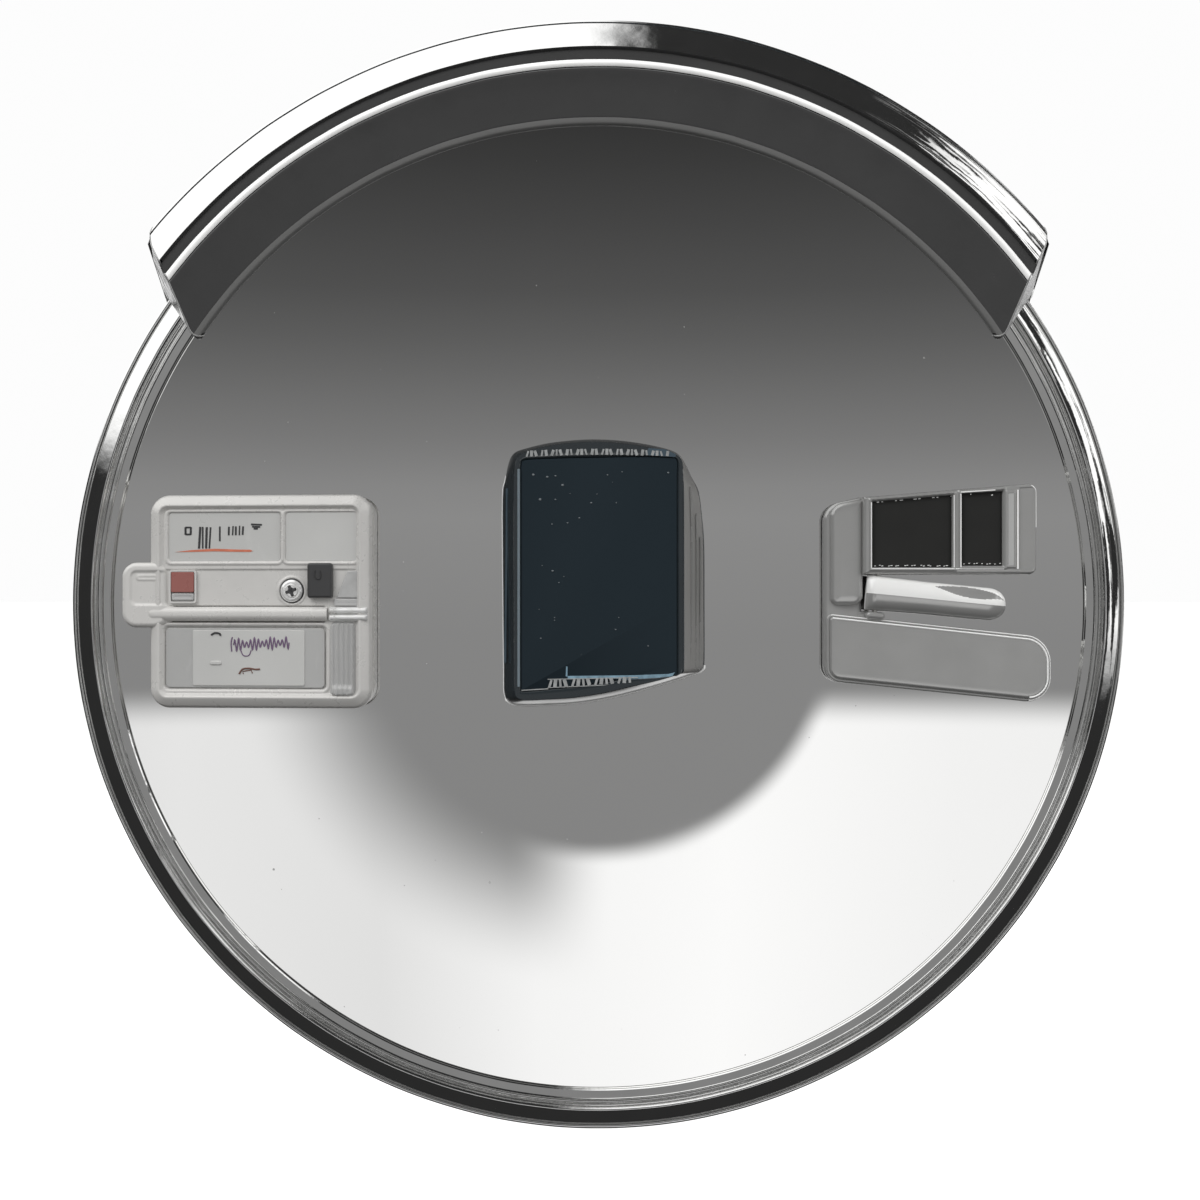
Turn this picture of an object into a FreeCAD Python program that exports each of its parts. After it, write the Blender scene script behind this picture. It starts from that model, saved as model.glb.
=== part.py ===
import FreeCAD, Part
import math
import os

# Traffic convex mirror: a domed mirror in a rolled rim under a hood, with three small
# units bonded to its face, carried by a swivelling two-axis bracket on a round pole.
# Row frame: origin on the pole's axis at mid height of the clamp, +Z up along the pole,
# the mirror looks along -Y.  All sizes are millimetres.

# Pole clamp
POLE_R = 38.15
CLAMP_LENGTH = 64.0
CLAMP_PLATE = 4.5
CLAMP_GAP = 8.0
EAR_REACH = 74.0
CLAMP_BOLT_X = 58.0
CLAMP_BOLT_Z = 18.0
CLAMP_BOLT_R = 5.0
CLAMP_BOLT_HEX = 16.0
EAR_CORNER_R = 7.0
BOLT_CLEARANCE = 0.5

# Swivel: vertical pan axis and horizontal tilt axis
PAN_Y = -80.0
PAN_BOLT_R = 8.0
PAN_BOLT_HEX = 24.0
PAN_EAR_INNER_Z = 24.0
PAN_EAR_PLATE = 6.0
PAN_EAR_R = 22.0
PAN_BUSH_R = 11.0
KNUCKLE_R = 20.0
TILT_Y = -127.0
TILT_BOLT_R = 6.0
TILT_BOLT_HEX = 18.0
TILT_EAR_INNER_X = 15.0
TILT_EAR_PLATE = 6.0
TILT_EAR_R = 15.0
TILT_BUSH_R = 9.0
FLANGE_T = 2.2
RUNNING_FIT = 0.05
MOVING_GAP = 0.3

# Mirror head, measured from the rim's front crest; depths are forward of that crest
RIM_Y = -190.0
DOME_RADIUS = 2200.0
DOME_VISIBLE_R = 300.0
DOME_EDGE_R = 309.0
DOME_EDGE_DEPTH = -6.5
DOME_SHEET = 1.5
RIM_R = 325.2
RIM_DEPTH = 28.0
RIM_SHEET = 1.3
PAN_FLANGE_R = 322.5
PAN_FLAT_R = 120.0
PAN_CONE_R = 296.0
PAN_BACK = -36.0
PAN_SHEET = 2.5
BRACKET_HALF = 55.0
BRACKET_PLATE = 5.0
PLATE_CORNER_R = 8.0
GUSSET_REACH = 44.0
BRACKET_BOLT_XY = 40.0
BRACKET_BOLT_R = 4.0
INNER_PLATE = 4.0

# Hood over the upper part of the rim
HOOD_REAR = -24.0
HOOD_SHEET = 2.0
HOOD_END_LOW_INNER = (231.2, 151.3, 90.0)
HOOD_END_LOW_OUTER = (258.0, 204.0, 72.0)
HOOD_END_REAR = (271.4, 189.7, -22.0)
HOOD_SCREW_ANGLES = (46.0, 68.0, 90.0, 112.0, 134.0)
HOOD_SCREW_DEPTH = -15.0
HOOD_SCREW_R = 2.0
HOOD_HEAD_R = 4.2

# Face units, each seated on the dome through a soft pad
PAD = 1.0
SIDE_UNIT_X = 202.8
LEFT_HALF_W = 68.2
LEFT_LOW_Y = -62.2
LEFT_HIGH_Y = 64.0
LEFT_CORNER_R = 12.0
LEFT_FRONT = 16.0
LEFT_SPLIT = 8.0
LEFT_BORDER = 9.0
LATCH_R = 4.6
LATCH_Y = -6.8
LATCH_AXIS_DEPTH = 11.6
LATCH_RIGHT_X = 39.0
BUTTON_X = (27.2, 42.3)
BUTTON_Y = (3.0, 24.1)
BUTTON_FRONT = 19.6
BUTTON_TRAVEL = 2.0
LENS_X = (-54.9, -41.0)
LENS_Y = (6.6, 19.3)
CENTRE_FRONT = 20.0
CENTRE_WALL = 3.0
GRIP_PIVOT = (-36.0, 6.0)
GRIP_ANGLE = -5.5
GRIP_LENGTH = 80.5
GRIP_ROOT_HALF = 9.6
GRIP_TIP_HALF = 9.8
LUG_T = 3.6
PIN_REACH = 14.0
GRIP_DEPTH = 11.4
GRIP_END_R = 6.5
GRIP_PIN_R = 1.5

DOME_APEX = DOME_EDGE_DEPTH + DOME_VISIBLE_R ** 2 / (2 * DOME_RADIUS)
SIDE_UNIT_ANGLE = math.degrees(math.asin(SIDE_UNIT_X / DOME_RADIUS))


def vec(x, y, z):
    return FreeCAD.Vector(x, y, z)


ORIGIN = vec(0, 0, 0)
X_AXIS = vec(1, 0, 0)
Y_AXIS = vec(0, 1, 0)
Z_AXIS = vec(0, 0, 1)


def box(x0, x1, y0, y1, z0, z1):
    return Part.makeBox(x1 - x0, y1 - y0, z1 - z0, vec(x0, y0, z0))


def cylinder(radius, base, axis, length):
    return Part.makeCylinder(radius, length, base, axis)


def tube(outer, inner, base, axis, length):
    return cylinder(outer, base, axis, length).cut(cylinder(inner, base, axis, length))


def polygon_face(points):
    loop = [vec(*p) for p in points]
    return Part.Face(Part.makePolygon(loop + [loop[0]]))


def rounded_face(points, radius):
    """Flat face in the XY plane whose convex corners are rounded to one radius."""
    edges = []
    starts = []
    ends = []
    count = len(points)
    for i in range(count):
        corner = vec(points[i][0], points[i][1], 0)
        before = vec(*points[i - 1], 0) - corner
        after = vec(*points[(i + 1) % count], 0) - corner
        before.normalize()
        after.normalize()
        half = before.getAngle(after) / 2
        reach = radius / math.tan(half)
        middle = before + after
        middle.normalize()
        centre = corner + middle * (radius / math.sin(half))
        start = corner + before * reach
        end = corner + after * reach
        edges.append(Part.Arc(start, centre - middle * radius, end).toShape())
        starts.append(start)
        ends.append(end)
    for i in range(count):
        edges.append(Part.makeLine(ends[i], starts[(i + 1) % count]))
    return Part.Face(Part.Wire(Part.__sortEdges__(edges)))


def prism(points, radius, z0, z1):
    face = rounded_face(points, radius)
    face.translate(vec(0, 0, z0))
    return face.extrude(vec(0, 0, z1 - z0))


def rounded_box(x0, x1, y0, y1, radius, z0, z1):
    return prism([(x0, y0), (x1, y0), (x1, y1), (x0, y1)], radius, z0, z1)


def revolved(points, start=0.0, sweep=360.0):
    """Turn a closed (radius, depth) outline about the depth axis."""
    face = polygon_face([(r, 0, z) for r, z in points])
    face.rotate(ORIGIN, Z_AXIS, start)
    return face.revolve(ORIGIN, Z_AXIS, sweep)


def hex_prism(across, base, axis, height):
    corner = across / math.sqrt(3)
    points = []
    for k in range(6):
        angle = math.radians(60 * k)
        points.append((corner * math.cos(angle), corner * math.sin(angle), 0))
    solid = polygon_face(points).extrude(vec(0, 0, height))
    solid.Placement = FreeCAD.Placement(base, FreeCAD.Rotation(Z_AXIS, axis))
    return solid


def fuse(shapes):
    result = shapes[0]
    for shape in shapes[1:]:
        result = result.fuse(shape)
    return result.removeSplitter()


def drill(shape, tools):
    for tool in tools:
        shape = shape.cut(tool)
    return shape


def to_row(shape):
    """Face frame (x right, y up, z towards the viewer) to the row frame."""
    moved = shape.copy()
    moved.rotate(ORIGIN, X_AXIS, 90)
    moved.translate(vec(0, RIM_Y, 0))
    return moved


def on_dome(shape, angle=0.0):
    """Seat a unit drawn at the dome's apex (z = 0 on the mirror) at an angle to one side."""
    moved = shape.copy()
    moved.translate(vec(0, 0, DOME_APEX))
    moved.rotate(vec(0, 0, DOME_APEX - DOME_RADIUS), Y_AXIS, angle)
    return to_row(moved)


def save(name, shape):
    shape.exportStep("parts/" + name + ".step")


def save_group(name, shapes):
    save(name, Part.makeCompound(shapes))


def xz_plate(x0, x1, z0, z1, radius, y0, y1):
    plate = rounded_box(x0, x1, z0, z1, radius, 0, y1 - y0)
    plate.rotate(ORIGIN, X_AXIS, 90)
    plate.translate(vec(0, y1, 0))
    return plate


def flange_bolt(radius, across, seat, out, length):
    """Hexagon bolt with a flange; out points from the seat to the head, the shank runs the other way."""
    flange = cylinder(across * 0.66, seat, out, FLANGE_T)
    head = hex_prism(across, seat + out * FLANGE_T, out, radius * 1.3)
    shank = cylinder(radius, seat + out, out * -1, length + 1)
    return fuse([flange, head, shank])


def flange_nut(radius, across, seat, out):
    flange = cylinder(across * 0.66, seat, out, FLANGE_T)
    body = hex_prism(across, seat + out * FLANGE_T, out, radius * 1.5)
    return fuse([flange, body]).cut(cylinder(radius, seat - out, out, radius * 3 + 10))


os.makedirs("parts", exist_ok=True)

# ---------------------------------------------------------------- pole clamp
clamp_bolt_places = []
for side in (-1, 1):
    for level in (-1, 1):
        clamp_bolt_places.append((side * CLAMP_BOLT_X, level * CLAMP_BOLT_Z))


def clamp_half(direction):
    """Half shell with two bolted ears; direction is -1 for the front half, 1 for the rear."""
    half_len = CLAMP_LENGTH / 2
    outer = cylinder(POLE_R + CLAMP_PLATE, vec(0, 0, -half_len), Z_AXIS, CLAMP_LENGTH)
    reach = POLE_R + CLAMP_PLATE + 1
    near = CLAMP_GAP / 2 * direction
    far = reach * direction
    shell = outer.common(box(-reach, reach, min(near, far), max(near, far), -half_len, half_len))
    ear_far = near + CLAMP_PLATE * direction
    ears = xz_plate(-EAR_REACH, EAR_REACH, -half_len, half_len, EAR_CORNER_R,
                    min(near, ear_far), max(near, ear_far))
    half = fuse([shell, ears])
    tools = [cylinder(POLE_R, vec(0, 0, -half_len - 1), Z_AXIS, CLAMP_LENGTH + 2)]
    for x, z in clamp_bolt_places:
        tools.append(cylinder(CLAMP_BOLT_R + BOLT_CLEARANCE, vec(x, -20, z), Y_AXIS, 40))
    return drill(half, tools)


save("clamp_saddle", clamp_half(-1))
save("clamp_strap", clamp_half(1))

ear_face = CLAMP_GAP / 2 + CLAMP_PLATE
bolts = []
nuts = []
for x, z in clamp_bolt_places:
    seat = vec(x, -ear_face, z)
    bolts.append(flange_bolt(CLAMP_BOLT_R, CLAMP_BOLT_HEX, seat, vec(0, -1, 0), 2 * ear_face + 13))
    nuts.append(flange_nut(CLAMP_BOLT_R, CLAMP_BOLT_HEX, vec(x, ear_face, z), Y_AXIS))
save_group("clamp_bolts", bolts)
save_group("clamp_nuts", nuts)

# ---------------------------------------------------------------- pan clevis
ear_top = PAN_EAR_INNER_Z + PAN_EAR_PLATE
base_front = PAN_Y + PAN_EAR_R + 8
clevis_parts = [box(-PAN_EAR_R, PAN_EAR_R, base_front, -34, -ear_top, ear_top)]
for low in (-ear_top, PAN_EAR_INNER_Z):
    clevis_parts.append(box(-PAN_EAR_R, PAN_EAR_R, PAN_Y, base_front, low, low + PAN_EAR_PLATE))
    clevis_parts.append(cylinder(PAN_EAR_R, vec(0, PAN_Y, low), Z_AXIS, PAN_EAR_PLATE))
clevis = drill(fuse(clevis_parts), [
    cylinder(POLE_R + CLAMP_PLATE, vec(0, 0, -50), Z_AXIS, 100),
    cylinder(PAN_BOLT_R + BOLT_CLEARANCE / 2, vec(0, PAN_Y, -50), Z_AXIS, 100),
])
save("pan_clevis", clevis)

save("pan_bolt", flange_bolt(PAN_BOLT_R, PAN_BOLT_HEX, vec(0, PAN_Y, ear_top), Z_AXIS, 2 * ear_top + 19))
save("pan_nut", flange_nut(PAN_BOLT_R, PAN_BOLT_HEX, vec(0, PAN_Y, -ear_top), vec(0, 0, -1)))

# ---------------------------------------------------------------- swivel block
knuckle_z = PAN_EAR_INNER_Z - MOVING_GAP
swivel_parts = [cylinder(KNUCKLE_R, vec(0, PAN_Y, -knuckle_z), Z_AXIS, 2 * knuckle_z)]
ear_outer_x = TILT_EAR_INNER_X + TILT_EAR_PLATE
bridge_front = TILT_Y + 25
swivel_parts.append(box(-ear_outer_x, ear_outer_x, bridge_front, PAN_Y - 4, -TILT_EAR_R, TILT_EAR_R))
for inner in (-ear_outer_x, TILT_EAR_INNER_X):
    outer = inner + TILT_EAR_PLATE
    swivel_parts.append(box(inner, outer, TILT_Y, bridge_front, -TILT_EAR_R, TILT_EAR_R))
    swivel_parts.append(cylinder(TILT_EAR_R, vec(inner, TILT_Y, 0), X_AXIS, TILT_EAR_PLATE))
swivel = drill(fuse(swivel_parts), [
    cylinder(PAN_BUSH_R, vec(0, PAN_Y, -50), Z_AXIS, 100),
    cylinder(TILT_BOLT_R + BOLT_CLEARANCE / 2, vec(-50, TILT_Y, 0), X_AXIS, 100),
])
save("swivel_block", swivel)
pan_bush_foot = vec(0, PAN_Y, -knuckle_z)
save("pan_bush", tube(PAN_BUSH_R, PAN_BOLT_R + RUNNING_FIT, pan_bush_foot, Z_AXIS, 2 * knuckle_z))

tilt_seat = vec(-ear_outer_x, TILT_Y, 0)
tilt_grip = 2 * ear_outer_x + 15
save("tilt_bolt", flange_bolt(TILT_BOLT_R, TILT_BOLT_HEX, tilt_seat, vec(-1, 0, 0), tilt_grip))
save("tilt_nut", flange_nut(TILT_BOLT_R, TILT_BOLT_HEX, vec(ear_outer_x, TILT_Y, 0), X_AXIS))

# ---------------------------------------------------------------- head bracket and back
plate_front_y = RIM_Y - PAN_BACK
plate_back_y = plate_front_y + BRACKET_PLATE
tongue_x = TILT_EAR_INNER_X - MOVING_GAP
tongue_r = TILT_EAR_R - 0.5
bracket_places = []
for side in (-1, 1):
    for level in (-1, 1):
        bracket_places.append((side * BRACKET_BOLT_XY, level * BRACKET_BOLT_XY))
plate = xz_plate(-BRACKET_HALF, BRACKET_HALF, -BRACKET_HALF, BRACKET_HALF, PLATE_CORNER_R,
                 plate_front_y, plate_back_y)
tongue = box(-tongue_x, tongue_x, plate_back_y, TILT_Y, -tongue_r, tongue_r)
tongue_end = cylinder(tongue_r, vec(-tongue_x, TILT_Y, 0), X_AXIS, 2 * tongue_x)
gussets = []
for side in (-1, 1):
    web = polygon_face([
        (-3, plate_back_y, side * GUSSET_REACH),
        (-3, plate_back_y, side * 8),
        (-3, TILT_Y - 4, side * 8),
    ])
    gussets.append(web.extrude(vec(6, 0, 0)))
bracket = fuse([plate, tongue, tongue_end] + gussets)
bracket_tools = [cylinder(TILT_BUSH_R, vec(-50, TILT_Y, 0), X_AXIS, 100)]
bracket_hole_r = BRACKET_BOLT_R + BOLT_CLEARANCE / 2
for x, z in bracket_places:
    bracket_tools.append(cylinder(bracket_hole_r, vec(x, plate_front_y - 1, z), Y_AXIS, 8))
save("head_bracket", drill(bracket, bracket_tools))
tilt_bush_foot = vec(-tongue_x, TILT_Y, 0)
save("tilt_bush", tube(TILT_BUSH_R, TILT_BOLT_R + RUNNING_FIT, tilt_bush_foot, X_AXIS, 2 * tongue_x))

cone_rise = (DOME_EDGE_DEPTH - 20.0 - PAN_BACK) / (PAN_CONE_R - PAN_FLAT_R)


def cone_depth(radius):
    return PAN_BACK + (radius - PAN_FLAT_R) * cone_rise


BEAD_RISE = 3.0
DRAIN_CIRCLE_R = 280.0
pan_outer = [(0, PAN_BACK), (PAN_FLAT_R, PAN_BACK)]
for bead in (170.0, 235.0):
    pan_outer.append((bead, cone_depth(bead)))
    pan_outer.append((bead + 4, cone_depth(bead + 4) - BEAD_RISE))
    pan_outer.append((bead + 12, cone_depth(bead + 12) - BEAD_RISE))
    pan_outer.append((bead + 16, cone_depth(bead + 16)))
pan_outer.append((PAN_CONE_R, cone_depth(PAN_CONE_R)))
pan_outer.append((PAN_FLANGE_R, cone_depth(PAN_CONE_R)))
pan_inner = [(r, z + PAN_SHEET) for r, z in reversed(pan_outer)]
pan_tools = []
for x, y in bracket_places:
    pan_tools.append(cylinder(bracket_hole_r, vec(x, y, -60), Z_AXIS, 60))
for angle in (-105, -90, -75):
    turn = math.radians(angle)
    drain = vec(DRAIN_CIRCLE_R * math.cos(turn), DRAIN_CIRCLE_R * math.sin(turn), -60)
    pan_tools.append(cylinder(4, drain, Z_AXIS, 60))
save("back_pan", to_row(drill(revolved(pan_outer + pan_inner), pan_tools)))

inner_top = PAN_BACK + PAN_SHEET + INNER_PLATE
inner_half = BRACKET_HALF + 10
inner = rounded_box(-inner_half, inner_half, -inner_half, inner_half, PLATE_CORNER_R,
                    PAN_BACK + PAN_SHEET, inner_top)
inner_tools = []
head_bolts = []
head_nuts = []
bracket_back = PAN_BACK - BRACKET_PLATE
for x, y in bracket_places:
    inner_tools.append(cylinder(bracket_hole_r, vec(x, y, -60), Z_AXIS, 60))
    shank = cylinder(BRACKET_BOLT_R, vec(x, y, bracket_back - 11), Z_AXIS, inner_top - bracket_back + 12)
    head = cylinder(9, vec(x, y, inner_top), Z_AXIS, 3.8)
    head_bolts.append(to_row(fuse([shank, head])))
    head_nuts.append(to_row(flange_nut(BRACKET_BOLT_R, 13, vec(x, y, bracket_back), vec(0, 0, -1))))
save("inner_plate", to_row(drill(inner, inner_tools)))
save_group("bracket_bolts", head_bolts)
save_group("bracket_nuts", head_nuts)

# ---------------------------------------------------------------- dome, gasket, rim


def dome_depth(radius, offset=0.0):
    reach = DOME_RADIUS + offset
    return DOME_APEX - DOME_RADIUS + math.sqrt(reach ** 2 - radius ** 2)


def dome_line(offset, edge_r):
    start = vec(0, 0, dome_depth(0, offset))
    middle = vec(edge_r / 2, 0, dome_depth(edge_r / 2, offset))
    end = vec(edge_r, 0, dome_depth(edge_r, offset))
    return Part.Arc(start, middle, end).toShape(), start, end


front_arc, front_apex, front_edge = dome_line(0.0, DOME_EDGE_R)
back_arc, back_apex, back_edge = dome_line(-DOME_SHEET, DOME_EDGE_R)
dome_wire = Part.Wire([
    front_arc,
    Part.makeLine(front_edge, back_edge),
    back_arc,
    Part.makeLine(back_apex, front_apex),
])
dome = Part.Face(dome_wire).revolve(ORIGIN, Z_AXIS, 360)
save("mirror_dome", to_row(dome))

GASKET_FRONT = -5.6
GASKET_BACK = -11.5
gasket = revolved([(302, GASKET_FRONT), (311.5, GASKET_FRONT), (311.5, GASKET_BACK), (302, GASKET_BACK)])
save("dome_gasket", to_row(gasket.cut(dome)))
flange_front = cone_depth(PAN_CONE_R) + PAN_SHEET
save("edge_spacer", to_row(revolved([
    (303, GASKET_BACK),
    (315.5, GASKET_BACK),
    (315.5, flange_front),
    (303, flange_front),
])))

rim_front = [
    (300.5, -4.0),
    (305.4, -3.0),
    (306.0, -2.0),
    (306.6, -2.8),
    (307.8, -3.6),
    (309.2, -2.8),
    (309.9, -1.2),
    (310.8, -0.4),
    (311.8, 0.0),
    (312.8, -0.3),
    (315.2, -1.5),
    (318.2, -3.3),
    (321.0, -5.4),
    (322.2, -6.6),
    (322.8, -7.2),
    (323.6, -6.8),
    (RIM_R - 0.6, -7.0),
    (RIM_R, -8.0),
    (RIM_R, -RIM_DEPTH),
    (312.0, -RIM_DEPTH),
]
rim_inside_r = RIM_R - RIM_SHEET
rim_back = [
    (312.0, -RIM_DEPTH + RIM_SHEET),
    (rim_inside_r, -RIM_DEPTH + RIM_SHEET),
    (rim_inside_r, -9.2),
    (322.2, -8.8),
    (318.0, -5.2),
    (313.0, -2.2),
    (310.4, -2.4),
    (309.0, -4.8),
    (300.5, -5.2),
]
rim = revolved(rim_front + rim_back)


def radial_cylinder(radius, angle, depth, start, length):
    """Cylinder whose axis points outwards from the mirror's axis."""
    out = vec(math.cos(math.radians(angle)), math.sin(math.radians(angle)), 0)
    return cylinder(radius, out * start + vec(0, 0, depth), out, length)


JOINT_RIVETS = (-93.5, -86.5)
RIVET_R = 2.0
hood_hole_r = HOOD_SCREW_R + 0.3
hood_holes = [radial_cylinder(hood_hole_r, a, HOOD_SCREW_DEPTH, 318, 14) for a in HOOD_SCREW_ANGLES]
rivet_holes = [radial_cylinder(RIVET_R, a, HOOD_SCREW_DEPTH, 318, 12) for a in JOINT_RIVETS]
save("rim_band", to_row(drill(rim, hood_holes + rivet_holes)))

strap_outline = [(RIM_R, -24), (RIM_R + 1.2, -24), (RIM_R + 1.2, -6), (RIM_R, -6)]
joint_strap = revolved(strap_outline, -97, 14)
save("rim_joint_strap", to_row(drill(joint_strap, rivet_holes)))
rivets = []
for angle in JOINT_RIVETS:
    stem = radial_cylinder(RIVET_R, angle, HOOD_SCREW_DEPTH, 321.5, 6)
    head = radial_cylinder(4.0, angle, HOOD_SCREW_DEPTH, RIM_R + 1.2, 1.4)
    head = head.cut(revolved([(300, -24), (RIM_R + 1.2, -24), (RIM_R + 1.2, -6), (300, -6)]))
    rivets.append(to_row(fuse([stem, head])))
save_group("rim_joint_rivets", rivets)

# ---------------------------------------------------------------- hood
hood_outer = [
    (RIM_R + HOOD_SHEET, HOOD_REAR),
    (RIM_R + HOOD_SHEET, -2),
    (338.4, 65),
    (339.4, 68),
    (339.2, 71),
    (337.4, 73),
    (335.2, 72.8),
    (333.6, 74.6),
    (331.6, 75.6),
    (329.8, 75.0),
    (327.6, 77.6),
    (324.4, 82.0),
    (320.6, 85.8),
    (316.6, 88.4),
    (313.4, 89.2),
    (311.4, 88.4),
    (309.8, 90.2),
    (308.0, 93.6),
    (305.4, 95.2),
    (303.6, 94.2),
    (277.0, 91.6),
    (274.2, 92.2),
    (271.8, 90.8),
    (271.2, 88.2),
    (272.4, 86.2),
]
hood_inner = [
    (274.0, 87.4),
    (276.6, 89.4),
    (303.6, 91.9),
    (306.4, 90.6),
    (310.0, 86.2),
    (316.0, 86.0),
    (319.6, 83.8),
    (323.0, 80.2),
    (328.6, 73.0),
    (333.0, 71.2),
    (336.6, 70.4),
    (336.8, 67),
    (RIM_R, -2),
    (RIM_R, HOOD_REAR),
]
hood_sheet = revolved(hood_outer + hood_inner, 20, 140)
hood_solid = revolved(hood_outer + [(326.5, 3), (RIM_R, -2), (RIM_R, HOOD_REAR)], 20, 140)


def end_blocks(side):
    """The waste block beyond one end of the hood, and the thin slab of its end wall."""
    points = []
    for x, y, z in (HOOD_END_LOW_INNER, HOOD_END_LOW_OUTER, HOOD_END_REAR):
        points.append(vec(side * x, y, z))
    normal = (points[1] - points[0]).cross(points[2] - points[0])
    if normal.x * side < 0:
        normal = normal * -1
    turn = FreeCAD.Placement(points[0], FreeCAD.Rotation(Z_AXIS, normal))
    waste = box(-400, 400, -400, 400, 0, 400)
    slab = box(-400, 400, -400, 400, -HOOD_SHEET, 0)
    waste.Placement = turn
    slab.Placement = turn
    return waste, slab


left_waste, left_slab = end_blocks(-1)
right_waste, right_slab = end_blocks(1)
hood = drill(hood_sheet, [left_waste, right_waste])
hood_block = drill(hood_solid, [left_waste, right_waste])
hood = fuse([hood, hood_block.common(left_slab), hood_block.common(right_slab)])
save("hood_shell", to_row(drill(hood, hood_holes)))
hood_screws = []
hood_nuts = []
core = revolved([(300, -23), (RIM_R + HOOD_SHEET, -23), (RIM_R + HOOD_SHEET, -3), (300, -3)])
for angle in HOOD_SCREW_ANGLES:
    stem = radial_cylinder(HOOD_SCREW_R, angle, HOOD_SCREW_DEPTH, 317, 10.4)
    head = radial_cylinder(HOOD_HEAD_R, angle, HOOD_SCREW_DEPTH, RIM_R + HOOD_SHEET - 0.2, 2.8).cut(core)
    hood_screws.append(to_row(fuse([stem, head])))
    out = vec(math.cos(math.radians(angle)), math.sin(math.radians(angle)), 0)
    nut = hex_prism(7, out * 320.2 + vec(0, 0, HOOD_SCREW_DEPTH), out, 3.6)
    hood_nuts.append(to_row(nut.cut(radial_cylinder(HOOD_SCREW_R, angle, HOOD_SCREW_DEPTH, 316, 12))))
save_group("hood_screws", hood_screws)
save_group("hood_nuts", hood_nuts)

# ---------------------------------------------------------------- face units: shared helpers
pad_ball = Part.makeSphere(DOME_RADIUS, vec(0, 0, -DOME_RADIUS))
unit_ball = Part.makeSphere(DOME_RADIUS + PAD, vec(0, 0, -DOME_RADIUS))
UNIT_BASE = -6.0


def seated(shape):
    return shape.cut(unit_ball)


def pad_under(face_prism):
    return face_prism.common(unit_ball).cut(pad_ball)


# ---------------------------------------------------------------- left control unit
LEFT = -SIDE_UNIT_ANGLE


def left_outline(inset, z0, z1):
    return rounded_box(
        -LEFT_HALF_W + inset, LEFT_HALF_W - inset, LEFT_LOW_Y + inset, LEFT_HIGH_Y - inset,
        LEFT_CORNER_R - inset, z0, z1)


save("left_pad", on_dome(pad_under(left_outline(3, UNIT_BASE, 3)), LEFT))
tray = seated(left_outline(0, UNIT_BASE, LEFT_SPLIT)).cut(left_outline(2.6, 3.0, LEFT_SPLIT))
posts = [cylinder(3.2, vec(x, y, 2.5), Z_AXIS, 1.0) for x in (-50, 50) for y in (-45, 45)]
save("left_tray", on_dome(fuse([tray] + posts), LEFT))
board_z = 3.5
led_mid = ((LENS_X[0] + LENS_X[1]) / 2, (LENS_Y[0] + LENS_Y[1]) / 2)
led = cylinder(2.5, vec(led_mid[0], led_mid[1], board_z + 1.5), Z_AXIS, 4.6)
save("left_board", on_dome(fuse([box(-60, 60, -54, 56, board_z, board_z + 1.6), led]), LEFT))

field = LEFT_FRONT - 1.0
pocket = field - 1.4
cover_wall = 3.0
trough_y = (-14.6, 1.6)
cover = left_outline(0, LEFT_SPLIT, LEFT_FRONT).cut(left_outline(cover_wall, LEFT_SPLIT, 12.2))
trough = box(-LEFT_HALF_W + 1, LEFT_HALF_W - 1, trough_y[0], trough_y[1], LEFT_SPLIT, 12.5)
cover = fuse([cover, trough])
CHANNEL_FLOOR = 9.4
label_x = (-57.3, 12.1)
blank_x = (15.1, 59.2)
label_y = (25.2, 54.9)
lower_x = (-59.0, 40.2)
lower_y = (-52.5, -14.0)
CLEAR_X = (42.6, 58.6)
cover_tools = [
    left_outline(LEFT_BORDER, field, LEFT_FRONT + 1),
    rounded_box(label_x[0], label_x[1], label_y[0], label_y[1], 2, pocket, field + 1),
    rounded_box(blank_x[0], blank_x[1], label_y[0], label_y[1], 2, pocket, field + 1),
    rounded_box(lower_x[0], lower_x[1], lower_y[0], lower_y[1], 4, pocket, field + 1),
    box(-58.5, 59.2, 1.0, 19.8, pocket, field + 1),
    box(-LEFT_HALF_W - 1, LATCH_RIGHT_X + 0.4, LATCH_Y - LATCH_R - MOVING_GAP,
        LATCH_Y + LATCH_R + MOVING_GAP, CHANNEL_FLOOR, LEFT_FRONT + 1),
    box(LATCH_RIGHT_X + 0.4, 62.8, LATCH_Y - 4.4, LATCH_Y + 4.4, CHANNEL_FLOOR + 0.6, LEFT_FRONT + 1),
    box(CLEAR_X[0], CLEAR_X[1], -55.0, -14.0, pocket, field + 1),
    box(LENS_X[0] - 0.1, LENS_X[1] + 0.1, LENS_Y[0] - 0.1, LENS_Y[1] + 0.1, LEFT_SPLIT, LEFT_FRONT + 1),
    box(BUTTON_X[0] - MOVING_GAP, BUTTON_X[1] + MOVING_GAP,
        BUTTON_Y[0] - MOVING_GAP, BUTTON_Y[1] + MOVING_GAP, LEFT_SPLIT, LEFT_FRONT + 1),
]
SCREW_XY = (17.5, 7.8)
cover_tools.append(cylinder(2.6, vec(SCREW_XY[0], SCREW_XY[1], 0), Z_AXIS, 20))
lens_step = box(LENS_X[0], LENS_X[1], 1.6, LENS_Y[0] - 0.6, pocket - 0.5, pocket + 1.6)
save("left_cover", on_dome(fuse([drill(cover, cover_tools), lens_step]), LEFT))

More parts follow.
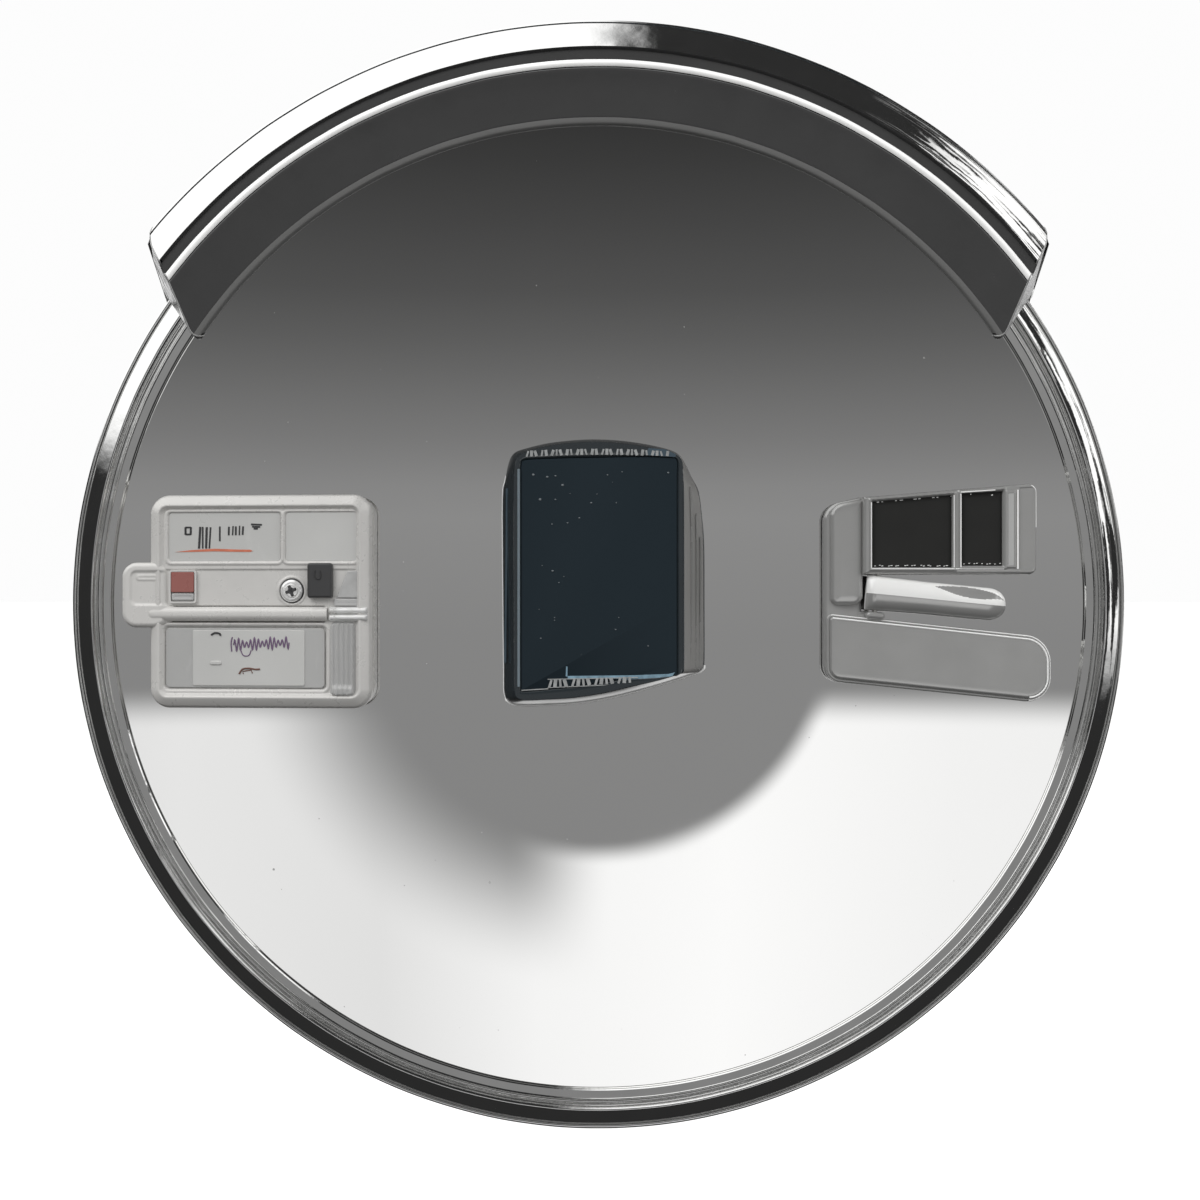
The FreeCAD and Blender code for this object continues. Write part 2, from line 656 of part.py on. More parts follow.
tray_screw = cylinder(2.4, vec(SCREW_XY[0], SCREW_XY[1], board_z + 1.7), Z_AXIS, pocket - board_z - 1.7)
screw_head = cylinder(6.6, vec(SCREW_XY[0], SCREW_XY[1], pocket), Z_AXIS, 2.6)
slot = box(-5.2, 5.2, -0.7, 0.7, pocket + 1.2, pocket + 3)
slot.translate(vec(SCREW_XY[0], SCREW_XY[1], 0))
slot.rotate(vec(SCREW_XY[0], SCREW_XY[1], 0), Z_AXIS, 30)
save("left_cover_screw", on_dome(fuse([tray_screw, screw_head]).cut(slot), LEFT))



def window_insert(x_range, y_range, clearance, radius, z0, z1):
    """Flat insert that drops into a window of the cover with a little clearance all round."""
    return rounded_box(x_range[0] + clearance, x_range[1] - clearance,
                       y_range[0] + clearance, y_range[1] - clearance, radius, z0, z1)


save("left_label_upper", on_dome(window_insert(label_x, label_y, 0.2, 2, pocket, field - 0.3), LEFT))
save("left_blank_cover", on_dome(window_insert(blank_x, label_y, 0.2, 2, pocket, field - 0.1), LEFT))
plate_x = (-45.0, 29.4)
plate_y = (-50.0, -17.6)
lower_frame = window_insert(lower_x, lower_y, 0.2, 4, pocket, field + 0.2)
lower_frame = lower_frame.cut(window_insert(plate_x, plate_y, 0, 3, pocket, field + 1))
save("left_lower_frame", on_dome(lower_frame, LEFT))
save("left_label_lower", on_dome(window_insert(plate_x, plate_y, 0.3, 2.8, pocket, field - 0.3), LEFT))

lens_top = LEFT_FRONT + 0.8
save("left_lens", on_dome(box(LENS_X[0], LENS_X[1], LENS_Y[0], LENS_Y[1], 10.2, lens_top), LEFT))

cap = box(BUTTON_X[0], BUTTON_X[1], BUTTON_Y[0], BUTTON_Y[1], 10.6, BUTTON_FRONT)
cap_flange = box(BUTTON_X[0] - 1.6, BUTTON_X[1] + 1.6, BUTTON_Y[0], BUTTON_Y[1] + 1.6, 10.6, 11.9)
save("button_cap", on_dome(fuse([cap, cap_flange]), LEFT))
button_mid = ((BUTTON_X[0] + BUTTON_X[1]) / 2, (BUTTON_Y[0] + BUTTON_Y[1]) / 2)
switch_top = 7.2
switch_body = box(-6, 6, -6, 6, board_z + 1.6, switch_top)
switch_stem = cylinder(3.0, vec(0, 0, switch_top), Z_AXIS, 10.6 - BUTTON_TRAVEL - MOVING_GAP - switch_top)
switch = fuse([switch_body, switch_stem])
switch.translate(vec(button_mid[0], button_mid[1], 0))
save("left_switch", on_dome(switch, LEFT))

guide_outline = [(43.2, 2.0), (58.6, 2.0), (58.6, 19.2), (50.0, 19.2)]
save("left_light_guide", on_dome(prism(guide_outline, 1.0, pocket, LEFT_FRONT + 0.4), LEFT))
rib_parts = [box(CLEAR_X[0] + 0.3, CLEAR_X[1] - 0.3, -54.7, -14.3, pocket, field + 0.2)]
for k in range(4):
    middle = CLEAR_X[0] + 2.6 + k * 3.6
    rib_parts.append(cylinder(1.4, vec(middle, -54.0, field + 0.2), Y_AXIS, 39.0))
save("left_ribbed_strip", on_dome(fuse(rib_parts), LEFT))

bar_round = cylinder(LATCH_R, vec(-77.2, LATCH_Y, LATCH_AXIS_DEPTH), X_AXIS, 77.2 + LATCH_RIGHT_X)
bar = bar_round.common(box(-80, 60, -20, 20, CHANNEL_FLOOR + MOVING_GAP, 30))
tab = rounded_box(-84.5, -LEFT_HALF_W - MOVING_GAP, -13.9, 23.5, 7, 7.0, 13.0)
save("latch_bar", on_dome(fuse([bar, tab]), LEFT))
COLLAR_R = 3.6
collar_axis_depth = 14.0
collar = cylinder(COLLAR_R, vec(LATCH_RIGHT_X + 0.8, LATCH_Y, collar_axis_depth), X_AXIS, 22.8)
for k in range(2):
    groove_foot = vec(LATCH_RIGHT_X + 7.0 + 8.0 * k, LATCH_Y, collar_axis_depth)
    collar = collar.cut(tube(COLLAR_R + 1.4, COLLAR_R - 0.6, groove_foot, X_AXIS, 1.6))
save("latch_collar", on_dome(collar, LEFT))

# ---------------------------------------------------------------- centre display unit
centre_outline = [
    (-57.9, 63.0),
    (-57.0, -53.4),
    (-53.3, -61.0),
    (-33.6, -62.7),
    (3.9, -60.0),
    (33.9, -53.4),
    (60.2, -45.0),
    (64.3, -40.2),
    (64.3, 34.8),
    (62.7, 48.0),
    (60.2, 68.4),
    (50.7, 88.2),
    (45.2, 93.0),
    (22.5, 97.2),
    (-3.6, 99.0),
    (-33.6, 96.0),
    (-48.6, 91.2),
    (-53.3, 85.4),
    (-56.1, 72.3),
]
glass_outline = [
    (-46.0, -50.0),
    (-20.0, -51.0),
    (20.0, -47.0),
    (48.4, -40.0),
    (48.4, 82.0),
    (20.0, 86.4),
    (-14.0, 87.2),
    (-46.0, 81.0),
]


def flat_prism(points, z0, z1):
    return polygon_face([(x, y, z0) for x, y in points]).extrude(vec(0, 0, z1 - z0))


def scaled(points, factor, mid_y):
    return [(x * factor, mid_y + (y - mid_y) * factor) for x, y in points]


def edge_wedge(top_x, foot_x, foot_z):
    """Waste wedge that slopes one long side of the housing away from the viewer."""
    far_x = math.copysign(90, top_x)
    face = polygon_face([
        (top_x, -150, CENTRE_FRONT + 1),
        (far_x, -150, CENTRE_FRONT + 1),
        (far_x, -150, foot_z),
        (foot_x, -150, foot_z),
    ])
    return face.extrude(vec(0, 300, 0))


CENTRE_MID_Y = 18.0
pad_outline = scaled(centre_outline, 0.93, CENTRE_MID_Y)
save("centre_pad", on_dome(pad_under(flat_prism(pad_outline, UNIT_BASE, 4))))
housing = seated(flat_prism(centre_outline, UNIT_BASE, CENTRE_FRONT))
GLASS_SEAT = CENTRE_FRONT - 3.0
TICK_T = 1.6
TICK_WIDTH = 4.6


def band_above(lower_edge):
    return lower_edge + [(x, y + TICK_WIDTH) for x, y in reversed(lower_edge)]


top_ticks = band_above([(-45.0, 83.4), (-14.0, 89.4), (20.0, 88.6), (44.0, 85.0)])
low_ticks = band_above([(-45.0, -57.6), (-20.0, -58.6), (20.0, -54.6), (40.0, -49.6)])
housing = drill(housing, [
    edge_wedge(50.5, 63.8, 3),
    edge_wedge(-50.5, -57.5, 12),
    flat_prism(glass_outline, GLASS_SEAT, CENTRE_FRONT + 1),
    flat_prism(scaled(glass_outline, 0.93, CENTRE_MID_Y), 4.0, CENTRE_FRONT + 1),
    flat_prism(top_ticks, CENTRE_FRONT - TICK_T, CENTRE_FRONT + 1),
    flat_prism(low_ticks, CENTRE_FRONT - TICK_T, CENTRE_FRONT + 1),
])
grille_slots = []
GRILLE_PITCH = 2.7
for k in range(4):
    slot_x = 51.6 + GRILLE_PITCH * k
    slot_floor = 15.6 - 2.6 * k
    grille_slots.append(box(slot_x, slot_x + 1.2, -34, 66 - 5 * k, slot_floor, CENTRE_FRONT + 1))
save("centre_housing", on_dome(drill(housing, grille_slots)))
glass = flat_prism(scaled(glass_outline, 0.996, CENTRE_MID_Y), GLASS_SEAT, CENTRE_FRONT - 0.4)
save("centre_glass", on_dome(glass))
save("centre_display", on_dome(box(-40, 42, -34, 74, 11.0, 14.0)))
save("centre_board", on_dome(box(-42, 44, -35, 75.5, 6.0, 7.6)))


def tick_strip(points, count):
    """Recessed strip with a row of plain slots along its middle line."""
    half = len(points) // 2
    strip = flat_prism(points, CENTRE_FRONT - TICK_T, CENTRE_FRONT - 0.2)
    holes = []
    first = points[0][0] + 2.0
    step = (points[half - 1][0] - points[0][0] - 4.0) / (count - 1)
    for k in range(count):
        x = first + k * step
        leg = max(i for i in range(half - 1) if points[i][0] <= x)
        share = (x - points[leg][0]) / (points[leg + 1][0] - points[leg][0])
        y = points[leg][1] + share * (points[leg + 1][1] - points[leg][1]) + TICK_WIDTH / 2
        holes.append(box(x - 0.9, x + 0.9, y - 1.2, y + 1.2, CENTRE_FRONT - 0.9, CENTRE_FRONT + 1))
    return drill(strip, holes)


tick_strips = [on_dome(tick_strip(top_ticks, 19)), on_dome(tick_strip(low_ticks, 17))]
save_group("centre_vent_strips", tick_strips)
save("centre_side_lip", on_dome(seated(box(-61.2, -58.0, -50, 70, 2.0, 6.0))))

# ---------------------------------------------------------------- right solar unit
RIGHT = SIDE_UNIT_ANGLE
BASE_TOP = 4.0
base_outline = [
    (-69.0, -46.4),
    (71.4, -61.2),
    (71.4, -22.0),
    (61.6, -8.0),
    (61.6, 71.8),
    (-52.0, 61.8),
    (-69.0, 55.0),
]
base_plate = seated(prism(base_outline, 5.0, UNIT_BASE, BASE_TOP))
solar_pad = prism(scaled(base_outline, 0.94, 0.0), 4.0, UNIT_BASE, 3)
save("right_pad", on_dome(pad_under(solar_pad), RIGHT))

BLOCK_FRONT = 16.5
block_outline = [(-41.4, 17.2), (61.0, 17.2), (61.0, 71.2), (-41.4, 62.2)]
block = prism(block_outline, 2.5, BASE_TOP, BLOCK_FRONT)
hollow_outline = [(-38.4, 24.0), (45.0, 24.0), (45.0, 66.0), (-38.4, 58.8)]
block_hollow = prism(hollow_outline, 2.0, BASE_TOP, BLOCK_FRONT - 4.5)
big_cell = [(-38.2, 21.8), (9.8, 21.8), (9.8, 63.2), (-38.2, 59.0)]
small_cell = [(16.4, 21.8), (40.4, 21.8), (40.4, 65.8), (16.4, 63.8)]


def inset(points, amount):
    mid_x = sum(p[0] for p in points) / len(points)
    mid_y = sum(p[1] for p in points) / len(points)
    result = []
    for x, y in points:
        result.append((x - math.copysign(amount, x - mid_x), y - math.copysign(amount, y - mid_y)))
    return result


CELL_SEAT = BLOCK_FRONT - 2.6
pivot = vec(GRIP_PIVOT[0], GRIP_PIVOT[1], 0)
across = vec(-math.sin(math.radians(GRIP_ANGLE)), math.cos(math.radians(GRIP_ANGLE)), 0)
lug_near = -GRIP_ROOT_HALF - MOVING_GAP
lug_far = lug_near - LUG_T
pin_foot = pivot + vec(0, 0, GRIP_DEPTH) + across * (lug_far + 0.2)
pin_length = PIN_REACH - lug_far - 0.2
block_tools = [
    block_hollow,
    prism(big_cell, 1.5, CELL_SEAT, BLOCK_FRONT + 1),
    prism(small_cell, 1.5, CELL_SEAT, BLOCK_FRONT + 1),
    box(42.6, 48.2, 21.8, 64.6, BLOCK_FRONT - 1.4, BLOCK_FRONT + 1),
    cylinder(GRIP_PIN_R, pin_foot, across, pin_length + 0.5),
]
save("right_block", on_dome(drill(block, block_tools), RIGHT))
light_strip = box(42.8, 48.0, 22.0, 64.4, BLOCK_FRONT - 1.4, BLOCK_FRONT + 0.3)
save("right_light_strip", on_dome(light_strip, RIGHT))
cells = []
frames = []
for cell in (big_cell, small_cell):
    cells.append(on_dome(prism(inset(cell, 1.6), 0.8, CELL_SEAT, BLOCK_FRONT - 0.9), RIGHT))
    ring = prism(inset(cell, 0.1), 1.4, CELL_SEAT, BLOCK_FRONT + 0.3)
    opening = prism(inset(cell, 1.5), 0.9, CELL_SEAT - 1, BLOCK_FRONT + 1)
    frames.append(on_dome(ring.cut(opening), RIGHT))
save_group("right_cells", cells)
save_group("right_cell_frames", frames)
save("right_board", on_dome(box(-34, 42, 28, 56, 6.0, 7.6), RIGHT))
tongue = rounded_box(-64.6, -43.4, 0.5, 59.1, 3, BASE_TOP - 0.5, 11.0)
lug = box(-4.5, 4.5, lug_far, lug_near, BASE_TOP - 0.5, GRIP_DEPTH + 4)
lug.rotate(ORIGIN, Z_AXIS, GRIP_ANGLE)
lug.translate(pivot)
pin = cylinder(GRIP_PIN_R, pin_foot, across, pin_length)
save("right_base", on_dome(fuse([base_plate, tongue, lug]).cut(pin), RIGHT))
save("grip_pin", on_dome(pin, RIGHT))

wires = []
for x, half_w, half_h in ((-GRIP_END_R, GRIP_ROOT_HALF, 6.5), (GRIP_LENGTH, GRIP_TIP_HALF, 6.3)):
    wire = Part.Wire(Part.Ellipse(ORIGIN, half_w, half_h).toShape())
    wire.rotate(ORIGIN, Y_AXIS, 90)
    wire.rotate(ORIGIN, X_AXIS, 90)
    wire.translate(vec(x, 0, 0))
    wires.append(wire)
grip = Part.makeLoft(wires, True, True)
plan_half = GRIP_TIP_HALF + 0.9
plan_view = rounded_box(-GRIP_END_R - 12, GRIP_LENGTH, -plan_half, plan_half, 10.0, -20, 20)
root_round = cylinder(GRIP_END_R, vec(0, -20, 0), Y_AXIS, 40)
forward = box(0, GRIP_LENGTH + 10, -20, 20, -20, 20)
grip = grip.common(plan_view).common(root_round.fuse(forward))
grip = grip.cut(cylinder(GRIP_PIN_R + RUNNING_FIT, vec(0, -20, 0), Y_AXIS, 40))
grip.rotate(ORIGIN, Z_AXIS, GRIP_ANGLE)
grip.translate(pivot + vec(0, 0, GRIP_DEPTH))
save("grip_lever", on_dome(grip, RIGHT))

LOWER_FRONT = 12.5
lower_outline = [(-68.0, -46.4), (70.6, -60.4), (70.6, -23.8), (-68.0, -6.2)]
save("right_lower_plate", on_dome(prism(lower_outline, 11.0, BASE_TOP, LOWER_FRONT), RIGHT))
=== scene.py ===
import math

import bmesh
import bpy
import numpy as np
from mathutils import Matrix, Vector, noise


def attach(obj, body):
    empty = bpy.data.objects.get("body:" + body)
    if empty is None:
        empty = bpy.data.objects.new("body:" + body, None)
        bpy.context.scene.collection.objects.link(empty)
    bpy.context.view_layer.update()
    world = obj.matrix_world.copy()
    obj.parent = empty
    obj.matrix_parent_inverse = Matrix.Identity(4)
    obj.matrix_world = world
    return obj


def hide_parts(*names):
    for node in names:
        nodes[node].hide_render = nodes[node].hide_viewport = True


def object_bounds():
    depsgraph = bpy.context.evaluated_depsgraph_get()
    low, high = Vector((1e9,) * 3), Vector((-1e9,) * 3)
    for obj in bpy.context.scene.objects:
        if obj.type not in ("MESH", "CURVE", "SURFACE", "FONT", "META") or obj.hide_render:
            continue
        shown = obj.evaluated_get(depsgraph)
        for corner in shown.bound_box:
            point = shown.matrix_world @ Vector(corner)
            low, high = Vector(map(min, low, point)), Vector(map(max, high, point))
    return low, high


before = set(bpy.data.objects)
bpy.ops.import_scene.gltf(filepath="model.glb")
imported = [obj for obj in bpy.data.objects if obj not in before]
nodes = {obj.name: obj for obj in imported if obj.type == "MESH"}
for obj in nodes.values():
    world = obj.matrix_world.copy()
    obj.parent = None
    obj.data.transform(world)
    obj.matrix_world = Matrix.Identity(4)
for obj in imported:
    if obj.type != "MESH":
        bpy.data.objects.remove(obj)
cad_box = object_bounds()

# Sizes in millimetres, in the face frame: x right, y up, z towards the viewer, 0 at the rim's crest.
MM = 0.001
RIM_Y = -190.0
DOME_RADIUS = 2200.0
DOME_VISIBLE_R = 300.0
DOME_EDGE_R = 309.0
DOME_EDGE_DEPTH = -6.5
DOME_SHEET = 1.5
DOME_APEX = DOME_EDGE_DEPTH + DOME_VISIBLE_R ** 2 / (2 * DOME_RADIUS)
SIDE_ANGLE = math.asin(202.8 / DOME_RADIUS)
RIM_R = 325.2
HOOD_ENDS = ((231.2, 151.3, 90.0), (258.0, 204.0, 72.0), (271.4, 189.7, -22.0))
HOOD_SHEET = 2.0
CAMERA_DISTANCE = 1200.0
CAMERA_OFFSET = (0.9, 1.8)
LENS_MM = 58.55
FLOOR_RADIUS = 400.0
FLOOR_DROP = 0.09
EDGE_ANGLE = 32.0


# ------------------------------------------------------------------ geometry helpers
def to_row(p):
    """Face frame in millimetres to the row frame in metres."""
    return Vector((p[0], RIM_Y - p[2], p[1])) * MM


def seat(angle):
    """Places points drawn at the dome's apex at an angle round the dome, then in the row frame."""
    c = math.cos(angle)
    s = math.sin(angle)

    def place(p):
        z = p[2] + DOME_RADIUS
        return to_row((p[0] * c + z * s, p[1], -p[0] * s + z * c + DOME_APEX - DOME_RADIUS))
    return place


LEFT = seat(-SIDE_ANGLE)
RIGHT = seat(SIDE_ANGLE)
CENTRE = seat(0.0)


def piece(name, verts, faces, material, body, replaces=(), slot=None, sharp=EDGE_ANGLE):
    """Smooth-shaded mesh that rides on a body and stands for the CAD nodes that it replaces."""
    mesh = bpy.data.meshes.new(name)
    mesh.from_pydata([tuple(v) for v in verts], [], faces)
    mesh.validate()
    obj = bpy.data.objects.new(name, mesh)
    bpy.context.scene.collection.objects.link(obj)
    mesh.materials.append(material)
    for poly in mesh.polygons:
        poly.use_smooth = True
    if sharp is not None:
        mesh.set_sharp_from_angle(angle=math.radians(sharp))
    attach(obj, body)
    if replaces:
        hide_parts(*replaces)
    return obj


def round_edges(obj, width):
    """Bevels every sharp edge by a width in millimetres."""
    mod = obj.modifiers.new("edge", "BEVEL")
    mod.width = width * MM
    mod.segments = 2
    mod.limit_method = "ANGLE"
    mod.angle_limit = math.radians(EDGE_ANGLE)
    mod.harden_normals = False


def fix_winding(obj):
    """Turns every face of a closed skin outwards."""
    bm = bmesh.new()
    bm.from_mesh(obj.data)
    bmesh.ops.recalc_face_normals(bm, faces=bm.faces)
    bm.to_mesh(obj.data)
    bm.free()


def smooth_line(points, steps):
    """Catmull-Rom through the points."""
    out = []
    last = len(points) - 1
    for i in range(last):
        p0 = points[max(i - 1, 0)]
        p1 = points[i]
        p2 = points[i + 1]
        p3 = points[min(i + 2, last)]
        for k in range(steps):
            t = k / steps
            q = []
            for a, b, c, d in zip(p0, p1, p2, p3):
                q.append(0.5 * (2 * b + (c - a) * t + (2 * a - 5 * b + 4 * c - d) * t * t
                                + (3 * b - a - 3 * c + d) * t ** 3))
            out.append(tuple(q))
    out.append(tuple(points[-1]))
    return out


def bead(r0, r1, base0, base1, height, count=8):
    """Half-round rib between two radii."""
    out = []
    for k in range(count + 1):
        t = k / count
        out.append((r0 + (r1 - r0) * (1 - math.cos(math.pi * t)) / 2,
                    base0 + (base1 - base0) * t + height * math.sin(math.pi * t)))
    return out


def sweep_grid(rows, cols, closed_rows, closed_cols):
    """Quads between rows of points, closed along either way."""
    faces = []
    for i in range(rows if closed_rows else rows - 1):
        for j in range(cols if closed_cols else cols - 1):
            a = i * cols + j
            b = i * cols + (j + 1) % cols
            c = ((i + 1) % rows) * cols + (j + 1) % cols
            d = ((i + 1) % rows) * cols + j
            faces.append((a, b, c, d))
    return faces


def ripple(x, y, z, size, depth):
    """Small smooth waviness of rolled sheet."""
    return depth * noise.noise(Vector((x, y, z)) / size)


def lathe(name, profile, count, material, body, ripples=0.0, **more):
    """Closed outline turned a full circle about the mirror's axis."""
    verts = []
    for r, z in profile:
        for j in range(count):
            a = 2 * math.pi * j / count
            x = math.cos(a)
            y = math.sin(a)
            shift = ripple(x * 325, y * 325, z * 2, 24, ripples)
            verts.append(to_row(((r + shift) * x, (r + shift) * y, z + shift)))
    obj = piece(name, verts, sweep_grid(len(profile), count, True, True), material, body, **more)
    fix_winding(obj)
    return obj


def tube_along(name, path, radius, sides, material, body="head", **more):
    """Round bead that follows a line of row-frame points; the radius is one value or one per point."""
    verts = []
    radii = radius if isinstance(radius, list) else [radius] * len(path)
    for i, p in enumerate(path):
        ahead = (path[min(i + 1, len(path) - 1)] - path[max(i - 1, 0)]).normalized()
        u = ahead.cross(Vector((0, 1, 0.01))).normalized()
        w = ahead.cross(u)
        for k in range(sides):
            a = 2 * math.pi * k / sides
            verts.append(p + (u * math.cos(a) + w * math.sin(a)) * radii[i] * MM)
    n = len(path)
    faces = sweep_grid(n, sides, False, True)
    faces.append(tuple(range(sides)))
    faces.append(tuple(range((n - 1) * sides, n * sides))[::-1])
    obj = piece(name, verts, faces, material, body, **more)
    fix_winding(obj)
    return obj


def rect(x0, x1, y0, y1):
    """Corners of a rectangle, anticlockwise."""
    return [(x0, y0), (x1, y0), (x1, y1), (x0, y1)]


def blocks(name, items, place, material, body="head", **more):
    """Several prisms as one piece; each item is (outline, z0, z1)."""
    verts = []
    faces = []
    for outline, z0, z1 in items:
        base = len(verts)
        n = len(outline)
        verts += [place((x, y, z0)) for x, y in outline] + [place((x, y, z1)) for x, y in outline]
        faces.append(tuple(base + k for k in range(n - 1, -1, -1)))
        faces.append(tuple(base + n + k for k in range(n)))
        for i in range(n):
            faces.append((base + i, base + (i + 1) % n, base + n + (i + 1) % n, base + n + i))
    obj = piece(name, verts, faces, material, body, **more)
    fix_winding(obj)
    return obj


def corner_outline(corners, radius, inset, steps=7):
    """Convex outline moved inwards by inset, with every corner rounded; always the same point count."""
    n = len(corners)
    lines = []
    for i in range(n):
        a = Vector(corners[i])
        b = Vector(corners[(i + 1) % n])
        ahead = (b - a).normalized()
        lines.append((a + Vector((-ahead.y, ahead.x)) * inset, ahead))
    moved = []
    for i in range(n):
        p, u = lines[i - 1]
        q, v = lines[i]
        t = ((q.x - p.x) * v.y - (q.y - p.y) * v.x) / (u.x * v.y - u.y * v.x)
        moved.append(p + u * t)
    out = []
    for i in range(n):
        u = lines[i - 1][1]
        v = lines[i][1]
        r = radius[i] if isinstance(radius, (list, tuple)) else radius
        r = max(r - inset, 0.3)
        turn = math.acos(max(-1.0, min(1.0, u.dot(v))))
        reach = r * math.tan(turn / 2)
        centre = moved[i] - u * reach + Vector((-u.y, u.x)) * r
        start = math.atan2(-u.x, u.y)
        for k in range(steps + 1):
            a = start + turn * k / steps
            out.append((centre.x + r * math.cos(a), centre.y + r * math.sin(a)))
    return out


def stack(name, rings, place, material, body="head", **more):
    """Skin over matching outlines; each ring is (outline, depth), closed at both ends."""
    n = len(rings[0][0])
    verts = []
    for outline, z in rings:
        verts += [place((x, y, z)) for x, y in outline]
    faces = sweep_grid(len(rings), n, False, True)
    faces.append(tuple(range(n))[::-1])
    faces.append(tuple(range((len(rings) - 1) * n, len(rings) * n)))
    obj = piece(name, verts, faces, material, body, **more)
    fix_winding(obj)
    return obj


def moulded(name, corners, radius, profile, place, material, body="head", **more):
    """Rounded block whose edge follows a profile of (inset, depth) steps."""
    rings = [(corner_outline(corners, radius, inset), z) for inset, z in profile]
    return stack(name, rings, place, material, body, **more)


def quarter(inset, z, size, count=5, start=0.0):
    """Rounded-over edge ending at depth z, as (inset, depth) steps."""
    out = []
    for k in range(count + 1):
        a = math.pi / 2 * k / count
        out.append((inset + size * (1 - math.cos(a)), z - size * (1 - math.sin(a)) + start))
    return out


# Signed distances on grids, negative inside, for the pressed reliefs.
def rect_distance(x, y, x0, x1, y0, y1, r):
    dx = np.abs(x - (x0 + x1) / 2) - (x1 - x0) / 2 + r
    dy = np.abs(y - (y0 + y1) / 2) - (y1 - y0) / 2 + r
    outside = np.hypot(np.maximum(dx, 0), np.maximum(dy, 0))
    return outside + np.minimum(np.maximum(dx, dy), 0) - r


def smooth(value, a, b):
    """0 below a, 1 above b, with a smooth step between."""
    t = np.clip((value - a) / (b - a), 0.0, 1.0)
    return t * t * (3 - 2 * t)


def hump(value, middle, half):
    """Rounded ridge, 1 at the middle and 0 at half a width away."""
    t = np.clip(np.abs(value - middle) / half, 0.0, 1.0)
    return np.cos(t * math.pi / 2) ** 2


def relief(name, box2, step, distance, height, base, place, material, body="head", **more):
    """Pressed plate: a fine grid trimmed to an outline, lifted by a height map, closed behind."""
    x0, x1, y0, y1 = box2
    nx = int((x1 - x0) / step) + 3
    ny = int((y1 - y0) / step) + 3
    gx, gy = np.meshgrid(x0 - step + step * np.arange(nx), y0 - step + step * np.arange(ny))
    d = distance(gx, gy)
    tiny = 0.01
    slope_x = (distance(gx + tiny, gy) - d) / tiny
    slope_y = (distance(gx, gy + tiny) - d) / tiny
    near = (d > -0.5 * step) & (d < 0.5 * step)
    gx = np.where(near, gx - d * slope_x, gx)
    gy = np.where(near, gy - d * slope_y, gy)
    keep = d < 0.5 * step
    z = height(gx, gy)
    index = np.full(d.shape, -1)
    index[keep] = np.arange(int(keep.sum()))
    xs = gx[keep]
    ys = gy[keep]
    top = [place((a, b, c)) for a, b, c in zip(xs.tolist(), ys.tolist(), z[keep].tolist())]
    low = base(xs, ys) if callable(base) else np.full(xs.shape, base)
    bottom = [place((a, b, c)) for a, b, c in zip(xs.tolist(), ys.tolist(), low.tolist())]
    shift = len(top)
    faces = []
    rim = {}
    for j in range(ny - 1):
        for i in range(nx - 1):
            loop = [int(k) for k in (index[j, i], index[j, i + 1], index[j + 1, i + 1],
                                     index[j + 1, i]) if k >= 0]
            if len(loop) < 3:
                continue
            faces.append(tuple(loop))
            for a, b in zip(loop, loop[1:] + loop[:1]):
                if (b, a) in rim:
                    del rim[(b, a)]
                else:
                    rim[(a, b)] = True
    backs = [tuple(k + shift for k in reversed(f)) for f in faces]
    walls = [(b, a, a + shift, b + shift) for a, b in rim]
    return piece(name, top + bottom, faces + backs + walls, material, body, **more)


# ------------------------------------------------------------------ materials
def grey(v):
    """Display level 0-255 to linear."""
    return (v / 255.0) ** 2.2


